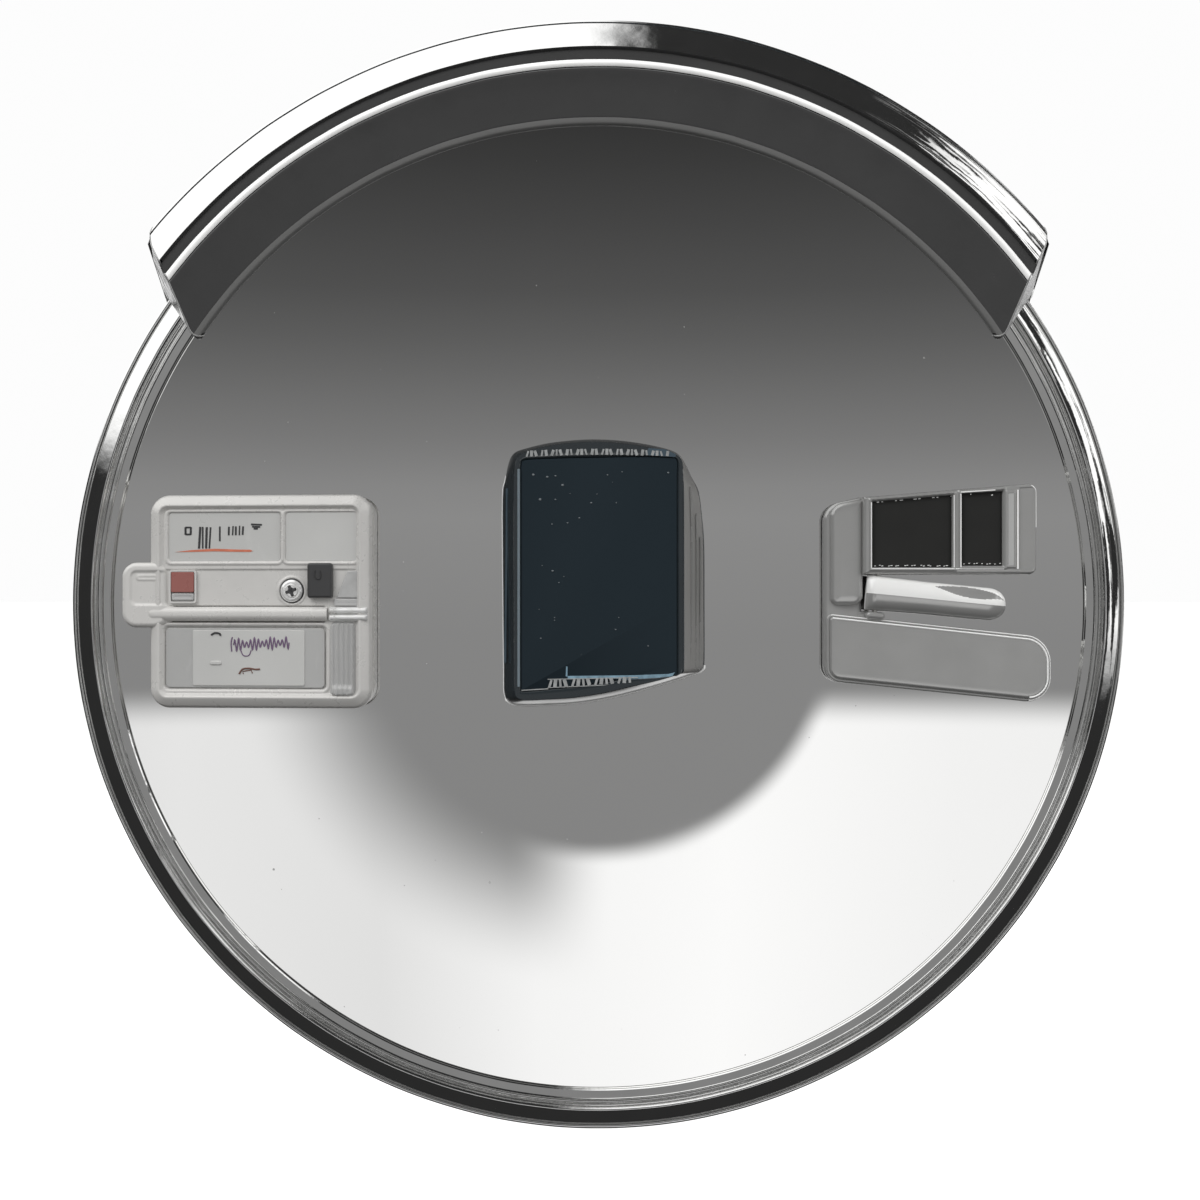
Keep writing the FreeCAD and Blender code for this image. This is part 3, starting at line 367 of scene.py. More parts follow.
class Shader:
    def __init__(self, name):
        self.mat = bpy.data.materials.new(name)
        self.mat.use_nodes = True
        self.tree = self.mat.node_tree
        self.tree.nodes.clear()
        self.out = self.add("ShaderNodeOutputMaterial")
        self.bsdf = self.add("ShaderNodeBsdfPrincipled")
        self.link(self.bsdf.outputs[0], self.out.inputs[0])
        coord = self.add("ShaderNodeTexCoord")
        self.place = coord.outputs["Object"]

    def add(self, kind, **values):
        node = self.tree.nodes.new(kind)
        for key, value in values.items():
            setattr(node, key, value)
        return node

    def link(self, a, b):
        self.tree.links.new(a, b)

    def noise(self, scale, detail=4.0, rough=0.55, stretch=None):
        tex = self.add("ShaderNodeTexNoise")
        tex.inputs["Scale"].default_value = scale
        tex.inputs["Detail"].default_value = detail
        tex.inputs["Roughness"].default_value = rough
        if stretch:
            mapping = self.add("ShaderNodeMapping")
            mapping.inputs["Scale"].default_value = stretch
            self.link(self.place, mapping.inputs["Vector"])
            self.link(mapping.outputs[0], tex.inputs["Vector"])
        else:
            self.link(self.place, tex.inputs["Vector"])
        return tex.outputs["Fac"]

    def span(self, source, a, b, c, d):
        node = self.add("ShaderNodeMapRange")
        node.inputs["From Min"].default_value = a
        node.inputs["From Max"].default_value = b
        node.inputs["To Min"].default_value = c
        node.inputs["To Max"].default_value = d
        self.link(source, node.inputs["Value"])
        return node.outputs[0]

    def math(self, op, a, b):
        node = self.add("ShaderNodeMath", operation=op)
        for socket, value in zip(node.inputs, (a, b)):
            if isinstance(value, (int, float)):
                socket.default_value = value
            else:
                self.link(value, socket)
        return node.outputs[0]

    def mix(self, factor, a, b):
        node = self.add("ShaderNodeMix", data_type="RGBA")
        self.link(factor, node.inputs["Factor"])
        for key, value in (("A", a), ("B", b)):
            socket = [s for s in node.inputs if s.name == key and s.type == "RGBA"][0]
            if isinstance(value, tuple):
                socket.default_value = (value[0], value[1], value[2], 1.0)
            else:
                self.link(value, socket)
        return [s for s in node.outputs if s.type == "RGBA"][0]

    def specks(self, scale, share, size):
        """1 inside small scattered dots, 0 elsewhere."""
        cells = self.add("ShaderNodeTexVoronoi")
        cells.inputs["Scale"].default_value = scale
        self.link(self.place, cells.inputs["Vector"])
        near = self.math("LESS_THAN", cells.outputs["Distance"], size)
        split = self.add("ShaderNodeSeparateColor")
        self.link(cells.outputs["Color"], split.inputs[0])
        chosen = self.math("LESS_THAN", split.outputs[0], share)
        return self.math("MULTIPLY", near, chosen)

    def bump(self, source, strength, distance, normal=None):
        node = self.add("ShaderNodeBump")
        node.inputs["Strength"].default_value = strength
        node.inputs["Distance"].default_value = distance
        self.link(source, node.inputs["Height"])
        if normal is not None:
            self.link(normal, node.inputs["Normal"])
        return node.outputs[0]

    def set(self, key, value):
        socket = self.bsdf.inputs[key]
        if isinstance(value, (int, float)):
            socket.default_value = value
        elif isinstance(value, tuple):
            socket.default_value = (value[0], value[1], value[2], 1.0)
        else:
            self.link(value, socket)


def finish_surface(name, colour, rough, metallic=0.0, mottle=0.10, mottle_scale=14.0, grain=0.15,
                   grain_scale=700.0, grain_depth=0.0002, rough_spread=0.10, wear=0.0, coat=0.0,
                   transmission=0.0, stretch=None, dust=0.0, specular=None):
    """General procedural surface: clouded colour, fine grain bump, uneven gloss, rubbed marks and dust."""
    s = Shader(name)
    cloud = s.noise(mottle_scale, 6.0)
    dark = tuple(c * (1 - mottle) for c in colour)
    light = tuple(min(c * (1 + mottle), 1.0) for c in colour)
    tone = s.mix(s.span(cloud, 0.3, 0.7, 0.0, 1.0), dark, light)
    if wear:
        marks = s.noise(mottle_scale * 7, 9.0, 0.72, (1.0, 1.0, 0.25))
        tone = s.mix(s.span(marks, 0.60, 0.74, 0.0, wear), tone,
                     tuple(min(c * 1.6 + 0.05, 1) for c in colour))
    if dust:
        fine = s.noise(55.0, 8.0, 0.7)
        tone = s.mix(s.span(fine, 0.45, 0.8, 0.0, dust), tone, (0.42, 0.40, 0.37))
    s.set("Base Color", tone)
    s.set("Metallic", metallic)
    gloss = s.noise(mottle_scale * 3, 6.0, 0.6, stretch)
    s.set("Roughness", s.span(gloss, 0.25, 0.75, max(rough - rough_spread, 0.01),
                              min(rough + rough_spread, 1.0)))
    s.set("Normal", s.bump(s.noise(grain_scale, 3.0, 0.5, stretch), grain, grain_depth))
    if coat:
        s.set("Coat Weight", coat)
        s.set("Coat Roughness", 0.12)
    if transmission:
        s.set("Transmission Weight", transmission)
        s.set("IOR", 1.49)
    if specular is not None:
        s.set("Specular IOR Level", specular)
    return s.mat


def mirror_material():
    s = Shader("mirror_face")
    specks = s.specks(60.0, 0.05, 0.05)
    tiny = s.specks(210.0, 0.025, 0.08)
    dots = s.math("MAXIMUM", specks, tiny)
    film = s.span(s.noise(5.0, 7.0, 0.6), 0.45, 0.85, 0.0, 0.06)
    tone = s.mix(film, (0.985, 0.983, 0.975), (0.86, 0.86, 0.85))
    s.set("Base Color", s.mix(dots, tone, (0.55, 0.55, 0.54)))
    s.set("Metallic", s.span(dots, 0.0, 1.0, 1.0, 0.3))
    smear = s.noise(22.0, 6.0, 0.6, (1.0, 1.0, 0.12))
    s.set("Roughness", s.math("ADD", s.span(smear, 0.4, 0.8, 0.012, 0.05), s.span(dots, 0.0, 1.0, 0.0, 0.4)))
    s.set("Normal", s.bump(s.noise(7.0, 2.0, 0.4), 0.05, 0.0004))
    return s.mat


def chrome_material(name, tint, rough, ripple_depth):
    s = Shader(name)
    cloud = s.noise(30.0, 6.0)
    s.set("Base Color", s.mix(s.span(cloud, 0.3, 0.7, 0, 1), tuple(c * 0.93 for c in tint), tint))
    s.set("Metallic", 1.0)
    s.set("Roughness", s.span(s.noise(90.0, 6.0, 0.65), 0.3, 0.75, rough * 0.5, rough * 1.8))
    first = s.bump(s.noise(38.0, 2.0, 0.5), 0.35, ripple_depth)
    s.set("Normal", s.bump(s.noise(260.0, 3.0, 0.5), 0.10, 0.0003, first))
    return s.mat


MIRROR = mirror_material()
# light grey for thin tubes along the hood's end edges: painted highlight lines, with some real wear
END_EDGE_HIGHLIGHT = finish_surface("hood_end_edge_highlight", (0.42, 0.42, 0.415), 0.35, 0.5, mottle=0.08, wear=0.1)
CHROME = chrome_material("chrome", (0.95, 0.95, 0.94), 0.05, 0.0010)
RIM_CHROME = chrome_material("rim_chrome", (0.93, 0.93, 0.92), 0.05, 0.0006)
# darker copy of the hood's chrome for its fascia and end walls: painted shade
FASCIA_SHADED_CHROME = chrome_material("fascia_painted_shade_chrome", (0.20, 0.20, 0.20), 0.16, 0.0004)
# near-black for the inside of the hood, also put on the groove behind the fold as painted shade
HOOD_INSIDE_AND_GROOVE_SHADE = finish_surface("hood_inside_and_groove_shade", (0.045, 0.045, 0.045), 0.5, grain=0.3)
GALV = finish_surface("galvanised", (0.50, 0.51, 0.52), 0.42, 0.85, mottle=0.20, mottle_scale=90, wear=0.35,
                      rough_spread=0.14, dust=0.15)
SCREW_CHROME = finish_surface("screw_chrome", (0.92, 0.92, 0.90), 0.14, 0.45, mottle=0.12, mottle_scale=160,
                              wear=0.1, rough_spread=0.05)
# bright white for the lever's upper half: a painted highlight
LEVER_HIGHLIGHT_WHITE = finish_surface("lever_painted_highlight", (0.90, 0.90, 0.885), 0.22, 0.15, mottle=0.04, grain=0.1,
                             rough_spread=0.05)
SIDE_RIB = finish_surface("centre_side_rib", (0.26, 0.26, 0.255), 0.25, 0.3, mottle=0.1)
BLUE_DARK = finish_surface("centre_flank", (0.05, 0.075, 0.095), 0.22, mottle=0.2)
ZINC = finish_surface("zinc", (0.66, 0.65, 0.62), 0.30, 1.0, mottle=0.12, mottle_scale=60, wear=0.3)
BRONZE = finish_surface("bronze", (0.55, 0.36, 0.16), 0.35, 1.0)
RUBBER = finish_surface("rubber", (0.018, 0.018, 0.018), 0.72, grain=0.4, dust=0.12)
BACK = finish_surface("back_resin", (0.30, 0.31, 0.32), 0.50, mottle=0.14, mottle_scale=11, grain=0.45,
                      grain_scale=420, grain_depth=0.0006, wear=0.25, dust=0.35)
HOUSING = finish_surface("housing_satin", (0.62, 0.61, 0.59), 0.28, 0.15, mottle=0.03, mottle_scale=30,
                         grain=0.06,
                         grain_scale=900, rough_spread=0.02)
HOUSING_MID = finish_surface("housing_polished", (0.42, 0.42, 0.412), 0.18, 0.45, mottle=0.04,
                             mottle_scale=30,
                             grain=0.06, rough_spread=0.05, dust=0.02)
HOUSING_DARK = finish_surface("housing_dark", (0.020, 0.026, 0.030), 0.16, grain=0.12, grain_scale=900,
                              wear=0.05, coat=0.8, rough_spread=0.06)
SIDE_GREY = finish_surface("centre_side_grey", (0.25, 0.247, 0.24), 0.34, 0.1, mottle=0.04, grain=0.06)
# dull grey on the hood's lip: a painted light line along the edge
LIP_PAINTED_LIGHT_LINE = finish_surface("hood_lip_painted_light_line", (0.15, 0.15, 0.147), 0.40, 0.2, mottle=0.05, grain=0.06)
LINE_GREY = finish_surface("centre_inner_line", (0.16, 0.20, 0.225), 0.35, mottle=0.05)
LIGHT_GUIDE = finish_surface("light_guide", (0.42, 0.42, 0.415), 0.20, mottle=0.10, mottle_scale=120)
# white used for painted highlights on beads, lips and the hood's fold, and for the solder flecks
HIGHLIGHT_AND_SOLDER_WHITE = finish_surface("highlight_and_solder_white", (0.88, 0.88, 0.87), 0.25, mottle=0.05)
LABEL_LIGHT = finish_surface("label_light", (0.56, 0.56, 0.545), 0.34, 0.15, mottle=0.05, grain=0.15,
                             wear=0.1)
LABEL_LOW = finish_surface("label_low", (0.46, 0.46, 0.452), 0.34, 0.2, mottle=0.06, grain=0.15, wear=0.15)
STRIP_MARK = finish_surface("strip_mark", (0.30, 0.31, 0.31), 0.4, mottle=0.25, mottle_scale=300)
BLUE_MARK = finish_surface("blue_mark", (0.17, 0.27, 0.34), 0.35, mottle=0.3, mottle_scale=200)
DROP = finish_surface("water_drop", (0.16, 0.18, 0.19), 0.20, mottle=0.2, coat=0.3)
BLACK = finish_surface("black_plastic", (0.035, 0.035, 0.036), 0.34, grain=0.3, dust=0.06)
BUTTON_BLACK = finish_surface("button_black", (0.05, 0.05, 0.051), 0.34, mottle=0.06, grain=0.2)
# dark used for printed marks, and also as painted shade in the screw's cross recess and a painted shadow
# round its seat
DARK_PRINT_AND_SHADE = finish_surface("dark_print_and_shade", (0.05, 0.05, 0.052), 0.5, mottle=0.3)
MARK_RED = finish_surface("mark_red", (0.56, 0.17, 0.10), 0.5, mottle=0.2, mottle_scale=120)
MARK_BROWN = finish_surface("mark_brown", (0.13, 0.065, 0.05), 0.5, mottle=0.3)
MARK_PURPLE = finish_surface("mark_purple", (0.15, 0.10, 0.17), 0.5, mottle=0.3)
DISPLAY = finish_surface("display_glass", (0.0150, 0.0235, 0.0300), 0.45, mottle=0.04, mottle_scale=9,
                         grain=0.03,
                         rough_spread=0.03, specular=0.12)
CELL = finish_surface("cell_glass", (0.022, 0.022, 0.021), 0.40, mottle=0.06, mottle_scale=40, grain=0.03,
                      specular=0.2)
CLEAR = finish_surface("clear_plastic", (0.50, 0.50, 0.495), 0.10, mottle=0.05, transmission=0.15, grain=0.05,
                       rough_spread=0.05)
RED = finish_surface("red_lens", (0.30, 0.115, 0.10), 0.30, mottle=0.06, grain=0.1)
BOARD = finish_surface("circuit_board", (0.02, 0.10, 0.05), 0.4, mottle=0.4, mottle_scale=200)

# ------------------------------------------------------------------ dome
DOME_RINGS = 96
DOME_SPOKES = 384
dome_profile = []
for k in range(1, DOME_RINGS + 1):
    r = DOME_EDGE_R * k / DOME_RINGS
    dome_profile.append((r, DOME_APEX - DOME_RADIUS + math.sqrt(DOME_RADIUS ** 2 - r * r)))
dome_verts = [to_row((0, 0, DOME_APEX))]
for r, z in dome_profile:
    for j in range(DOME_SPOKES):
        a = 2 * math.pi * j / DOME_SPOKES
        dome_verts.append(to_row((r * math.cos(a), r * math.sin(a), z)))
front_count = len(dome_verts)
for v in list(dome_verts):
    dome_verts.append(v + Vector((0, DOME_SHEET * MM, 0)))
dome_faces = []
for base, flip in ((0, False), (front_count, True)):
    for j in range(DOME_SPOKES):
        tri = (base, base + 1 + j, base + 1 + (j + 1) % DOME_SPOKES)
        dome_faces.append(tri[::-1] if flip else tri)
    for k in range(DOME_RINGS - 1):
        for j in range(DOME_SPOKES):
            a = base + 1 + k * DOME_SPOKES + j
            b = base + 1 + k * DOME_SPOKES + (j + 1) % DOME_SPOKES
            quad = (a, a + DOME_SPOKES, b + DOME_SPOKES, b)
            dome_faces.append(quad[::-1] if flip else quad)
edge = 1 + (DOME_RINGS - 1) * DOME_SPOKES
for j in range(DOME_SPOKES):
    a = edge + j
    b = edge + (j + 1) % DOME_SPOKES
    dome_faces.append((a, front_count + a, front_count + b, b))
dome = piece("dome_mirror", dome_verts, dome_faces, MIRROR, "head", replaces=("mirror_dome",), slot="mirror")
fix_winding(dome)

# ------------------------------------------------------------------ rim
rim_profile = [(300.6, -6.3), (300.1, -5.6), (300.2, -4.7)]
rim_profile += smooth_line([(300.9, -4.05), (303.0, -3.95), (305.0, -3.85)], 3)
rim_profile += bead(305.3, 306.6, -3.8, -3.8, 1.0)
rim_profile += smooth_line([(306.9, -4.2), (308.0, -4.6), (309.0, -3.8)], 4)
rim_profile += bead(309.2, 310.3, -3.2, -2.4, 0.9)
rim_profile += smooth_line([(310.5, -1.7), (311.0, -0.8), (311.8, -0.2), (312.8, -0.4), (315.2, -1.6),
                            (318.2, -3.45), (321.0, -5.6), (322.1, -6.7)], 5)
rim_profile += [(322.5, -7.2), (322.9, -7.0)]
rim_profile += bead(323.0, RIM_R - 0.1, -6.8, -7.4, 0.8, 10)
rim_profile += [(RIM_R, -8.2), (RIM_R, -14.0), (RIM_R, -20.0), (RIM_R, -26.6), (RIM_R - 0.5, -27.7),
                (RIM_R - 1.4, -28.0)]
rim_profile += [(318.0, -28.0), (312.6, -28.0), (312.0, -27.6), (312.0, -26.9), (316.0, -26.7)]
rim_profile += [(323.6, -26.7), (323.9, -26.0), (323.9, -9.4), (322.2, -8.8), (318.0, -5.3), (313.0, -2.3)]
rim_profile += [(311.6, -2.2), (310.4, -3.6), (309.0, -5.4)]
lathe("rim_band_rolled", rim_profile, 540, RIM_CHROME, "head", ripples=0.10, replaces=("rim_band",),
      slot="chrome")


# joint of the rolled band: a strap inside its wall, with two flat rivet heads outside
STRAP_HALF_ANGLE = 0.075
STRAP_STEPS = 16
STRAP_SECTION = ((322.5, -12.0), (323.7, -12.0), (323.7, -22.0), (322.5, -22.0))
RIVET_SECTION = ((322.0, 1.4), (RIM_R, 2.4), (RIM_R + 0.35, 2.0), (RIM_R + 0.6, 1.0))
RIVET_SIDES = 16
RIVET_DEPTH = -17.0
strap_verts = []
for k in range(STRAP_STEPS + 1):
    a = -math.pi / 2 + STRAP_HALF_ANGLE * (2 * k / STRAP_STEPS - 1)
    strap_verts += [to_row((r * math.cos(a), r * math.sin(a), z)) for r, z in STRAP_SECTION]
strap_faces = sweep_grid(STRAP_STEPS + 1, len(STRAP_SECTION), False, True)
strap_faces += [(0, 1, 2, 3), tuple(len(strap_verts) - k for k in (1, 2, 3, 4))]
for side in (-1, 1):
    a = -math.pi / 2 + side * STRAP_HALF_ANGLE * 0.55
    across = Vector((-math.sin(a), math.cos(a), 0))
    out_way = Vector((math.cos(a), math.sin(a), 0))
    first = len(strap_verts)
    for reach, size in RIVET_SECTION:
        for k in range(RIVET_SIDES):
            turn = 2 * math.pi * k / RIVET_SIDES
            rise = Vector((0, 0, RIVET_DEPTH + size * math.sin(turn)))
            strap_verts.append(to_row(out_way * reach + across * size * math.cos(turn) + rise))
    skin = sweep_grid(len(RIVET_SECTION), RIVET_SIDES, False, True)
    strap_faces += [tuple(first + k for k in face) for face in skin]
    for ring in (0, len(RIVET_SECTION) - 1):
        strap_faces.append(tuple(first + ring * RIVET_SIDES + k for k in range(RIVET_SIDES)))
strap = piece("rim_joint_inner_strap", strap_verts, strap_faces, RIM_CHROME, "head",
              replaces=("rim_joint_strap", "rim_joint_rivets"), slot="chrome")
fix_winding(strap)


# ------------------------------------------------------------------ hood
def plane_of(points):
    """Unit normal and reach of the plane through three points, facing right."""
    a, b, c = [Vector(p) for p in points]
    normal = (b - a).cross(c - a).normalized()
    if normal.x < 0:
        normal = -normal
    return normal, normal.dot(a)


END_NORMAL, END_REACH = plane_of(HOOD_ENDS)


def end_angle(r, z, back=0.0):
    """Angle above the x axis where radius r at depth z meets the hood's end plane."""
    amp = r * math.hypot(END_NORMAL.x, END_NORMAL.y)
    lean = math.atan2(END_NORMAL.y, END_NORMAL.x)
    value = (END_REACH - back - END_NORMAL.z * z) / amp
    return lean + math.acos(max(-1.0, min(1.0, value)))


hood_out = [(RIM_R + 1.8, -24.0), (RIM_R + HOOD_SHEET, -23.4)]
hood_out += smooth_line([(RIM_R + HOOD_SHEET, -14), (RIM_R + HOOD_SHEET + 0.1, -3), (331.0, 21),
                         (335.0, 44), (338.0, 63.5)], 5)
hood_out += bead(338.2, 335.6, 66.0, 73.6, 1.2, 10)
hood_out += [(335.3, 73.0), (335.0, 72.6), (334.6, 73.0)]
hood_out += smooth_line([(334.4, 73.8), (333.4, 75.0), (330.6, 76.8), (326.6, 80.4), (322.8, 84.2),
                         (319.4, 87.0), (317.6, 88.0)], 5)
groove_start = len(hood_out)
hood_out += smooth_line([(317.0, 87.6), (315.2, 84.8), (312.6, 84.0), (310.6, 85.6), (309.6, 88.6)], 4)
fold_start = len(hood_out)
hood_out += smooth_line([(309.2, 91.2), (308.2, 93.8), (306.4, 95.2), (304.8, 94.9), (303.9, 94.2)], 4)
fascia_start = len(hood_out)
hood_out += smooth_line([(303.2, 94.0), (294.0, 93.4), (284.0, 92.6), (277.2, 92.0)], 5)
lip_start = len(hood_out)
hood_out += smooth_line([(276.0, 91.9), (274.2, 91.9), (272.6, 91.2), (271.7, 89.6), (271.8, 87.8),
                         (272.8, 86.6)], 4)
hood_in = [(274.0, 87.6), (276.8, 89.6), (290.0, 90.6), (303.4, 91.8), (306.6, 90.6), (309.6, 86.4),
           (316.0, 86.0),
           (320.4, 83.6), (324.0, 80.0), (328.8, 73.4), (333.0, 71.2), (336.2, 69.6), (336.4, 66.0),
           (329.0, 20.0),
           (RIM_R + 0.05, -2.0), (RIM_R + 0.05, -24.0)]
hood_loop = hood_out + hood_in
COLS = 220


def corner_pull(r, z):
    """Rounds the hood's corners: extra angle near the lip and near the outer bead."""
    low = max(0.0, 1.0 - abs(r - 271.4) / 9.0) if z > 84 else 0.0
    high = max(0.0, 1.0 - abs(r - 338.6) / 12.0) if z > 60 else 0.0
    pull = 1 - math.sqrt(max(0.0, 1 - max(low, high) ** 2))
    return 8.0 * pull


def hood_point(r, z, t):
    """Point of the hood at a share t of the way from its right end to its left end."""
    start = end_angle(r, z, corner_pull(r, z) if z > 60 else 0.0)
    a = start + (math.pi - 2 * start) * t
    x = math.cos(a)
    y = math.sin(a)
    shift = ripple(x * 330, y * 330, z * 1.5, 20, 0.22) if z > 60 else 0.0
    return ((r + shift * 0.4) * x, (r + shift * 0.4) * y, z + shift)


hood_verts = []
for r, z in hood_loop:
    for j in range(COLS):
        hood_verts.append(to_row(hood_point(r, z, j / (COLS - 1))))
hood_faces = sweep_grid(len(hood_loop), COLS, True, False)
rows = len(hood_loop)
hood_faces.append(tuple(i * COLS for i in range(rows)))
hood_faces.append(tuple(i * COLS + COLS - 1 for i in reversed(range(rows))))
hood = piece("hood_skin", hood_verts, hood_faces, CHROME, "head", replaces=("hood_shell",), slot="chrome",
             sharp=40)
fix_winding(hood)
hood.visible_glossy = False
for extra in (FASCIA_SHADED_CHROME, HOOD_INSIDE_AND_GROOVE_SHADE, HIGHLIGHT_AND_SOLDER_WHITE, LIP_PAINTED_LIGHT_LINE):
    hood.data.materials.append(extra)
# first row of each band of the section, with its place in the list of materials: the groove black as painted
# shade, the fold's crest white as a painted highlight, the fascia a darker chrome as painted shade, the lip a
# dull grey as a painted light line
HOOD_BANDS = ((0, 0), (groove_start - 1, 2), (fold_start + 3, 3), (fascia_start - 3, 1), (lip_start, 4),
              (len(hood_out), 2))
per_row = COLS - 1
for index, poly in enumerate(hood.data.polygons):
    if index < rows * per_row:
        poly.material_index = [band for first, band in HOOD_BANDS if index // per_row >= first][-1]

wall_edge = hood_out + [(326.6, 3.0), (RIM_R + 0.05, -2.0), (RIM_R + 0.05, -24.0)]
# end walls in the darker chrome copy: painted shade
for side, label in ((1, "right"), (-1, "left")):
    verts = []
    for back in (0.15, HOOD_SHEET):
        for r, z in wall_edge:
            a = end_angle(r - 0.25, z, back + (corner_pull(r, z) if z > 60 else 0.0))
            verts.append(to_row((side * (r - 0.25) * math.cos(a), (r - 0.25) * math.sin(a), z - 0.2)))
    n = len(wall_edge)
    faces = [tuple(range(n)), tuple(range(2 * n - 1, n - 1, -1))]
    for i in range(n):
        faces.append((i, (i + 1) % n, n + (i + 1) % n, n + i))
    wall = piece("hood_end_" + label, verts, faces, FASCIA_SHADED_CHROME, "head", slot="chrome", sharp=30)
    wall.visible_glossy = False
    fix_winding(wall)


# light grey tubes along the hood's end edges: painted highlight lines
for side, label in ((1, "right"), (-1, "left")):
    path = []
    for r, z in hood_out[6:-6]:
        a = end_angle(r, z, (corner_pull(r, z) if z > 60 else 0.0) + 0.3)
        path.append(to_row((side * r * math.cos(a), r * math.sin(a), z - 0.2)))
    end_bead = tube_along("hood_end_highlight_bead_" + label, path, 0.5, 8, END_EDGE_HIGHLIGHT, slot="chrome")
    end_bead.visible_glossy = False

# ------------------------------------------------------------------ left control unit
LEFT_BOX = (-69.6, 67.6, -63.8, 65.6)
WINDOW_LABEL = (-57.3, 12.1, 25.2, 54.9)
WINDOW_BLANK = (15.1, 58.8, 25.2, 54.9)
WINDOW_LOW = (-60.4, 40.2, -52.5, -14.0)
STRIP_BOX = (42.5, 58.1, -57.0, -11.4)
FIELD = 15.0
BORDER_WIDTH = 6.8
BORDER_RISE = 2.6
BORDER_FALL = 4.4
EDGE_ROLL = 2.4
EDGE_ROLL_WIDTH = 1.6
SCREW = (19.0, 7.3)
SCREW_SEAT_R = 7.4


def left_edge_distance(x, y):
    return rect_distance(x, y, *LEFT_BOX, 12.0)


def window_press(x, y, window, radius, depth):
    """Pressed window: a soft raised bead round it and a sunk floor."""
    d = rect_distance(x, y, *window, radius)
    return 0.75 * hump(d, 1.3, 1.6) - depth * smooth(-d, -0.2, 0.9)


def left_height(x, y):
    """Sloped border, sunk field and windows, channel for the bar and a seat for the screw."""
    d = -left_edge_distance(x, y)
    over = np.clip(1 - d / BORDER_WIDTH, 0.0, 1.0)
    z = FIELD + BORDER_RISE - BORDER_FALL * over ** 1.25
    z = z - EDGE_ROLL * np.clip(1 - d / EDGE_ROLL_WIDTH, 0.0, 1.0) ** 2
    z = z - 3.2 * smooth(d, 6.4, 9.8)
    inside = smooth(d, 8.4, 10.2)
    z = z + inside * 0.85 * smooth(y, 19.6, 20.8)
    z = z + inside * window_press(x, y, WINDOW_LABEL, 2.0, 2.5)
    z = z + inside * window_press(x, y, WINDOW_BLANK, 2.0, 2.4)
    z = z + inside * window_press(x, y, WINDOW_LOW, 3.0, 1.6)
    channel = rect_distance(x, y, -90, 41.0, -11.8, -1.9, 1.0)
    z = z - 4.2 * smooth(-channel, -0.4, 0.9) * smooth(-x, -39.2, -38.2)
    z = z - 2.6 * smooth(-rect_distance(x, y, -90, -66.8, -14.6, 24.2, 3.0), -0.6, 0.6)
    from_screw = np.hypot(x - SCREW[0], y - SCREW[1])
    z = z + 0.7 * hump(from_screw, SCREW_SEAT_R + 0.8, 1.6)
    z = z - 0.8 * smooth(SCREW_SEAT_R - from_screw, -0.5, 0.5)
    waves = 0.05 * np.sin(x / 3.1) * np.cos(y / 2.3) + 0.04 * np.sin(x / 1.7 + y / 2.9)
    return z + waves * inside


relief("left_cover_pressed", LEFT_BOX, 0.45, left_edge_distance, left_height, 8.0, LEFT, HOUSING,
       replaces=("left_cover",), slot="housing_grey", sharp=60)

# low plate: lighter inner label, raised tab marks
frame_outer = [(-59.2, -51.4), (39.0, -51.4), (39.0, -15.2), (-59.2, -15.2)]
moulded("left_low_plate", frame_outer, 2.6, [(0, 13.0)] + quarter(0, 14.4, 0.6) + [(6, 14.45)], LEFT,
        LABEL_LOW,
        replaces=("left_lower_frame",), slot="housing_silver", sharp=60)
low_label = [(-42.4, -50.2), (26.9, -50.2), (26.9, -16.4), (-42.4, -16.4)]
moulded("left_low_label", low_label, 1.2, [(0, 13.6)] + quarter(0, 15.1, 0.5) + [(3, 15.1)], LEFT,
        LABEL_LIGHT,
        replaces=("left_label_lower",), slot="label", sharp=60)

# sliding latch: pressed tab joined to the half-round bar
BAR_Y = -6.7
BAR_HALF = 4.5


def latch_distance(x, y):
    """Tab and bar joined with a soft fillet."""
    tab = rect_distance(x, y, -86.2, -57.4, -14.9, 24.6, 9.0)
    bar = rect_distance(x, y, -78.0, 41.0, BAR_Y - BAR_HALF, BAR_Y + BAR_HALF, 1.5)
    blend_k = 5.0
    h = np.clip(0.5 + 0.5 * (bar - tab) / blend_k, 0.0, 1.0)
    joined = bar * (1 - h) + tab * h - blend_k * h * (1 - h)
    return joined


def latch_height(x, y):
    """Rolled tab with a shallow dish, running into the half-round bar."""
    d = -latch_distance(x, y)
    z = 17.6 - 3.4 * (1 - np.sqrt(np.maximum(0.0, 1 - np.clip(1 - d / 3.4, 0, 1) ** 2)))
    dish = rect_distance(x, y, -80.6, -40.0, -1.4, 19.6, 4.0)
    z = z - 1.15 * smooth(-dish, -0.8, 1.6)
    z = z + 0.5 * hump(rect_distance(x, y, -76.0, -64.0, 14.4, 16.4, 1.0), 0.0, 1.6) * (x < -60)
    bar = np.clip(np.abs(y - BAR_Y) / BAR_HALF, 0.0, 1.0)
    round_bar = 14.0 + 4.3 * np.sqrt(np.maximum(0.0, 1 - bar ** 2))
    flat = 12.6 + 0.0 * x
    share = smooth(x, -62.0, -52.0)
    z = z * (1 - share) + flat * share
    return np.maximum(z, 12.6 + (round_bar - 12.6) * smooth(x, -80.0, -66.0))


relief("latch_slider", (-86.6, 41.4, -15.2, 25.0), 0.45, latch_distance, latch_height, 12.4, LEFT, HOUSING,
       "latch",
       replaces=("latch_bar",), slot="housing_silver", sharp=60)

# clear collar: two bright rods in a low saddle at the bar's end
def collar_distance(x, y):
    return rect_distance(x, y, 42.2, 65.6, -11.0, -2.4, 1.0)


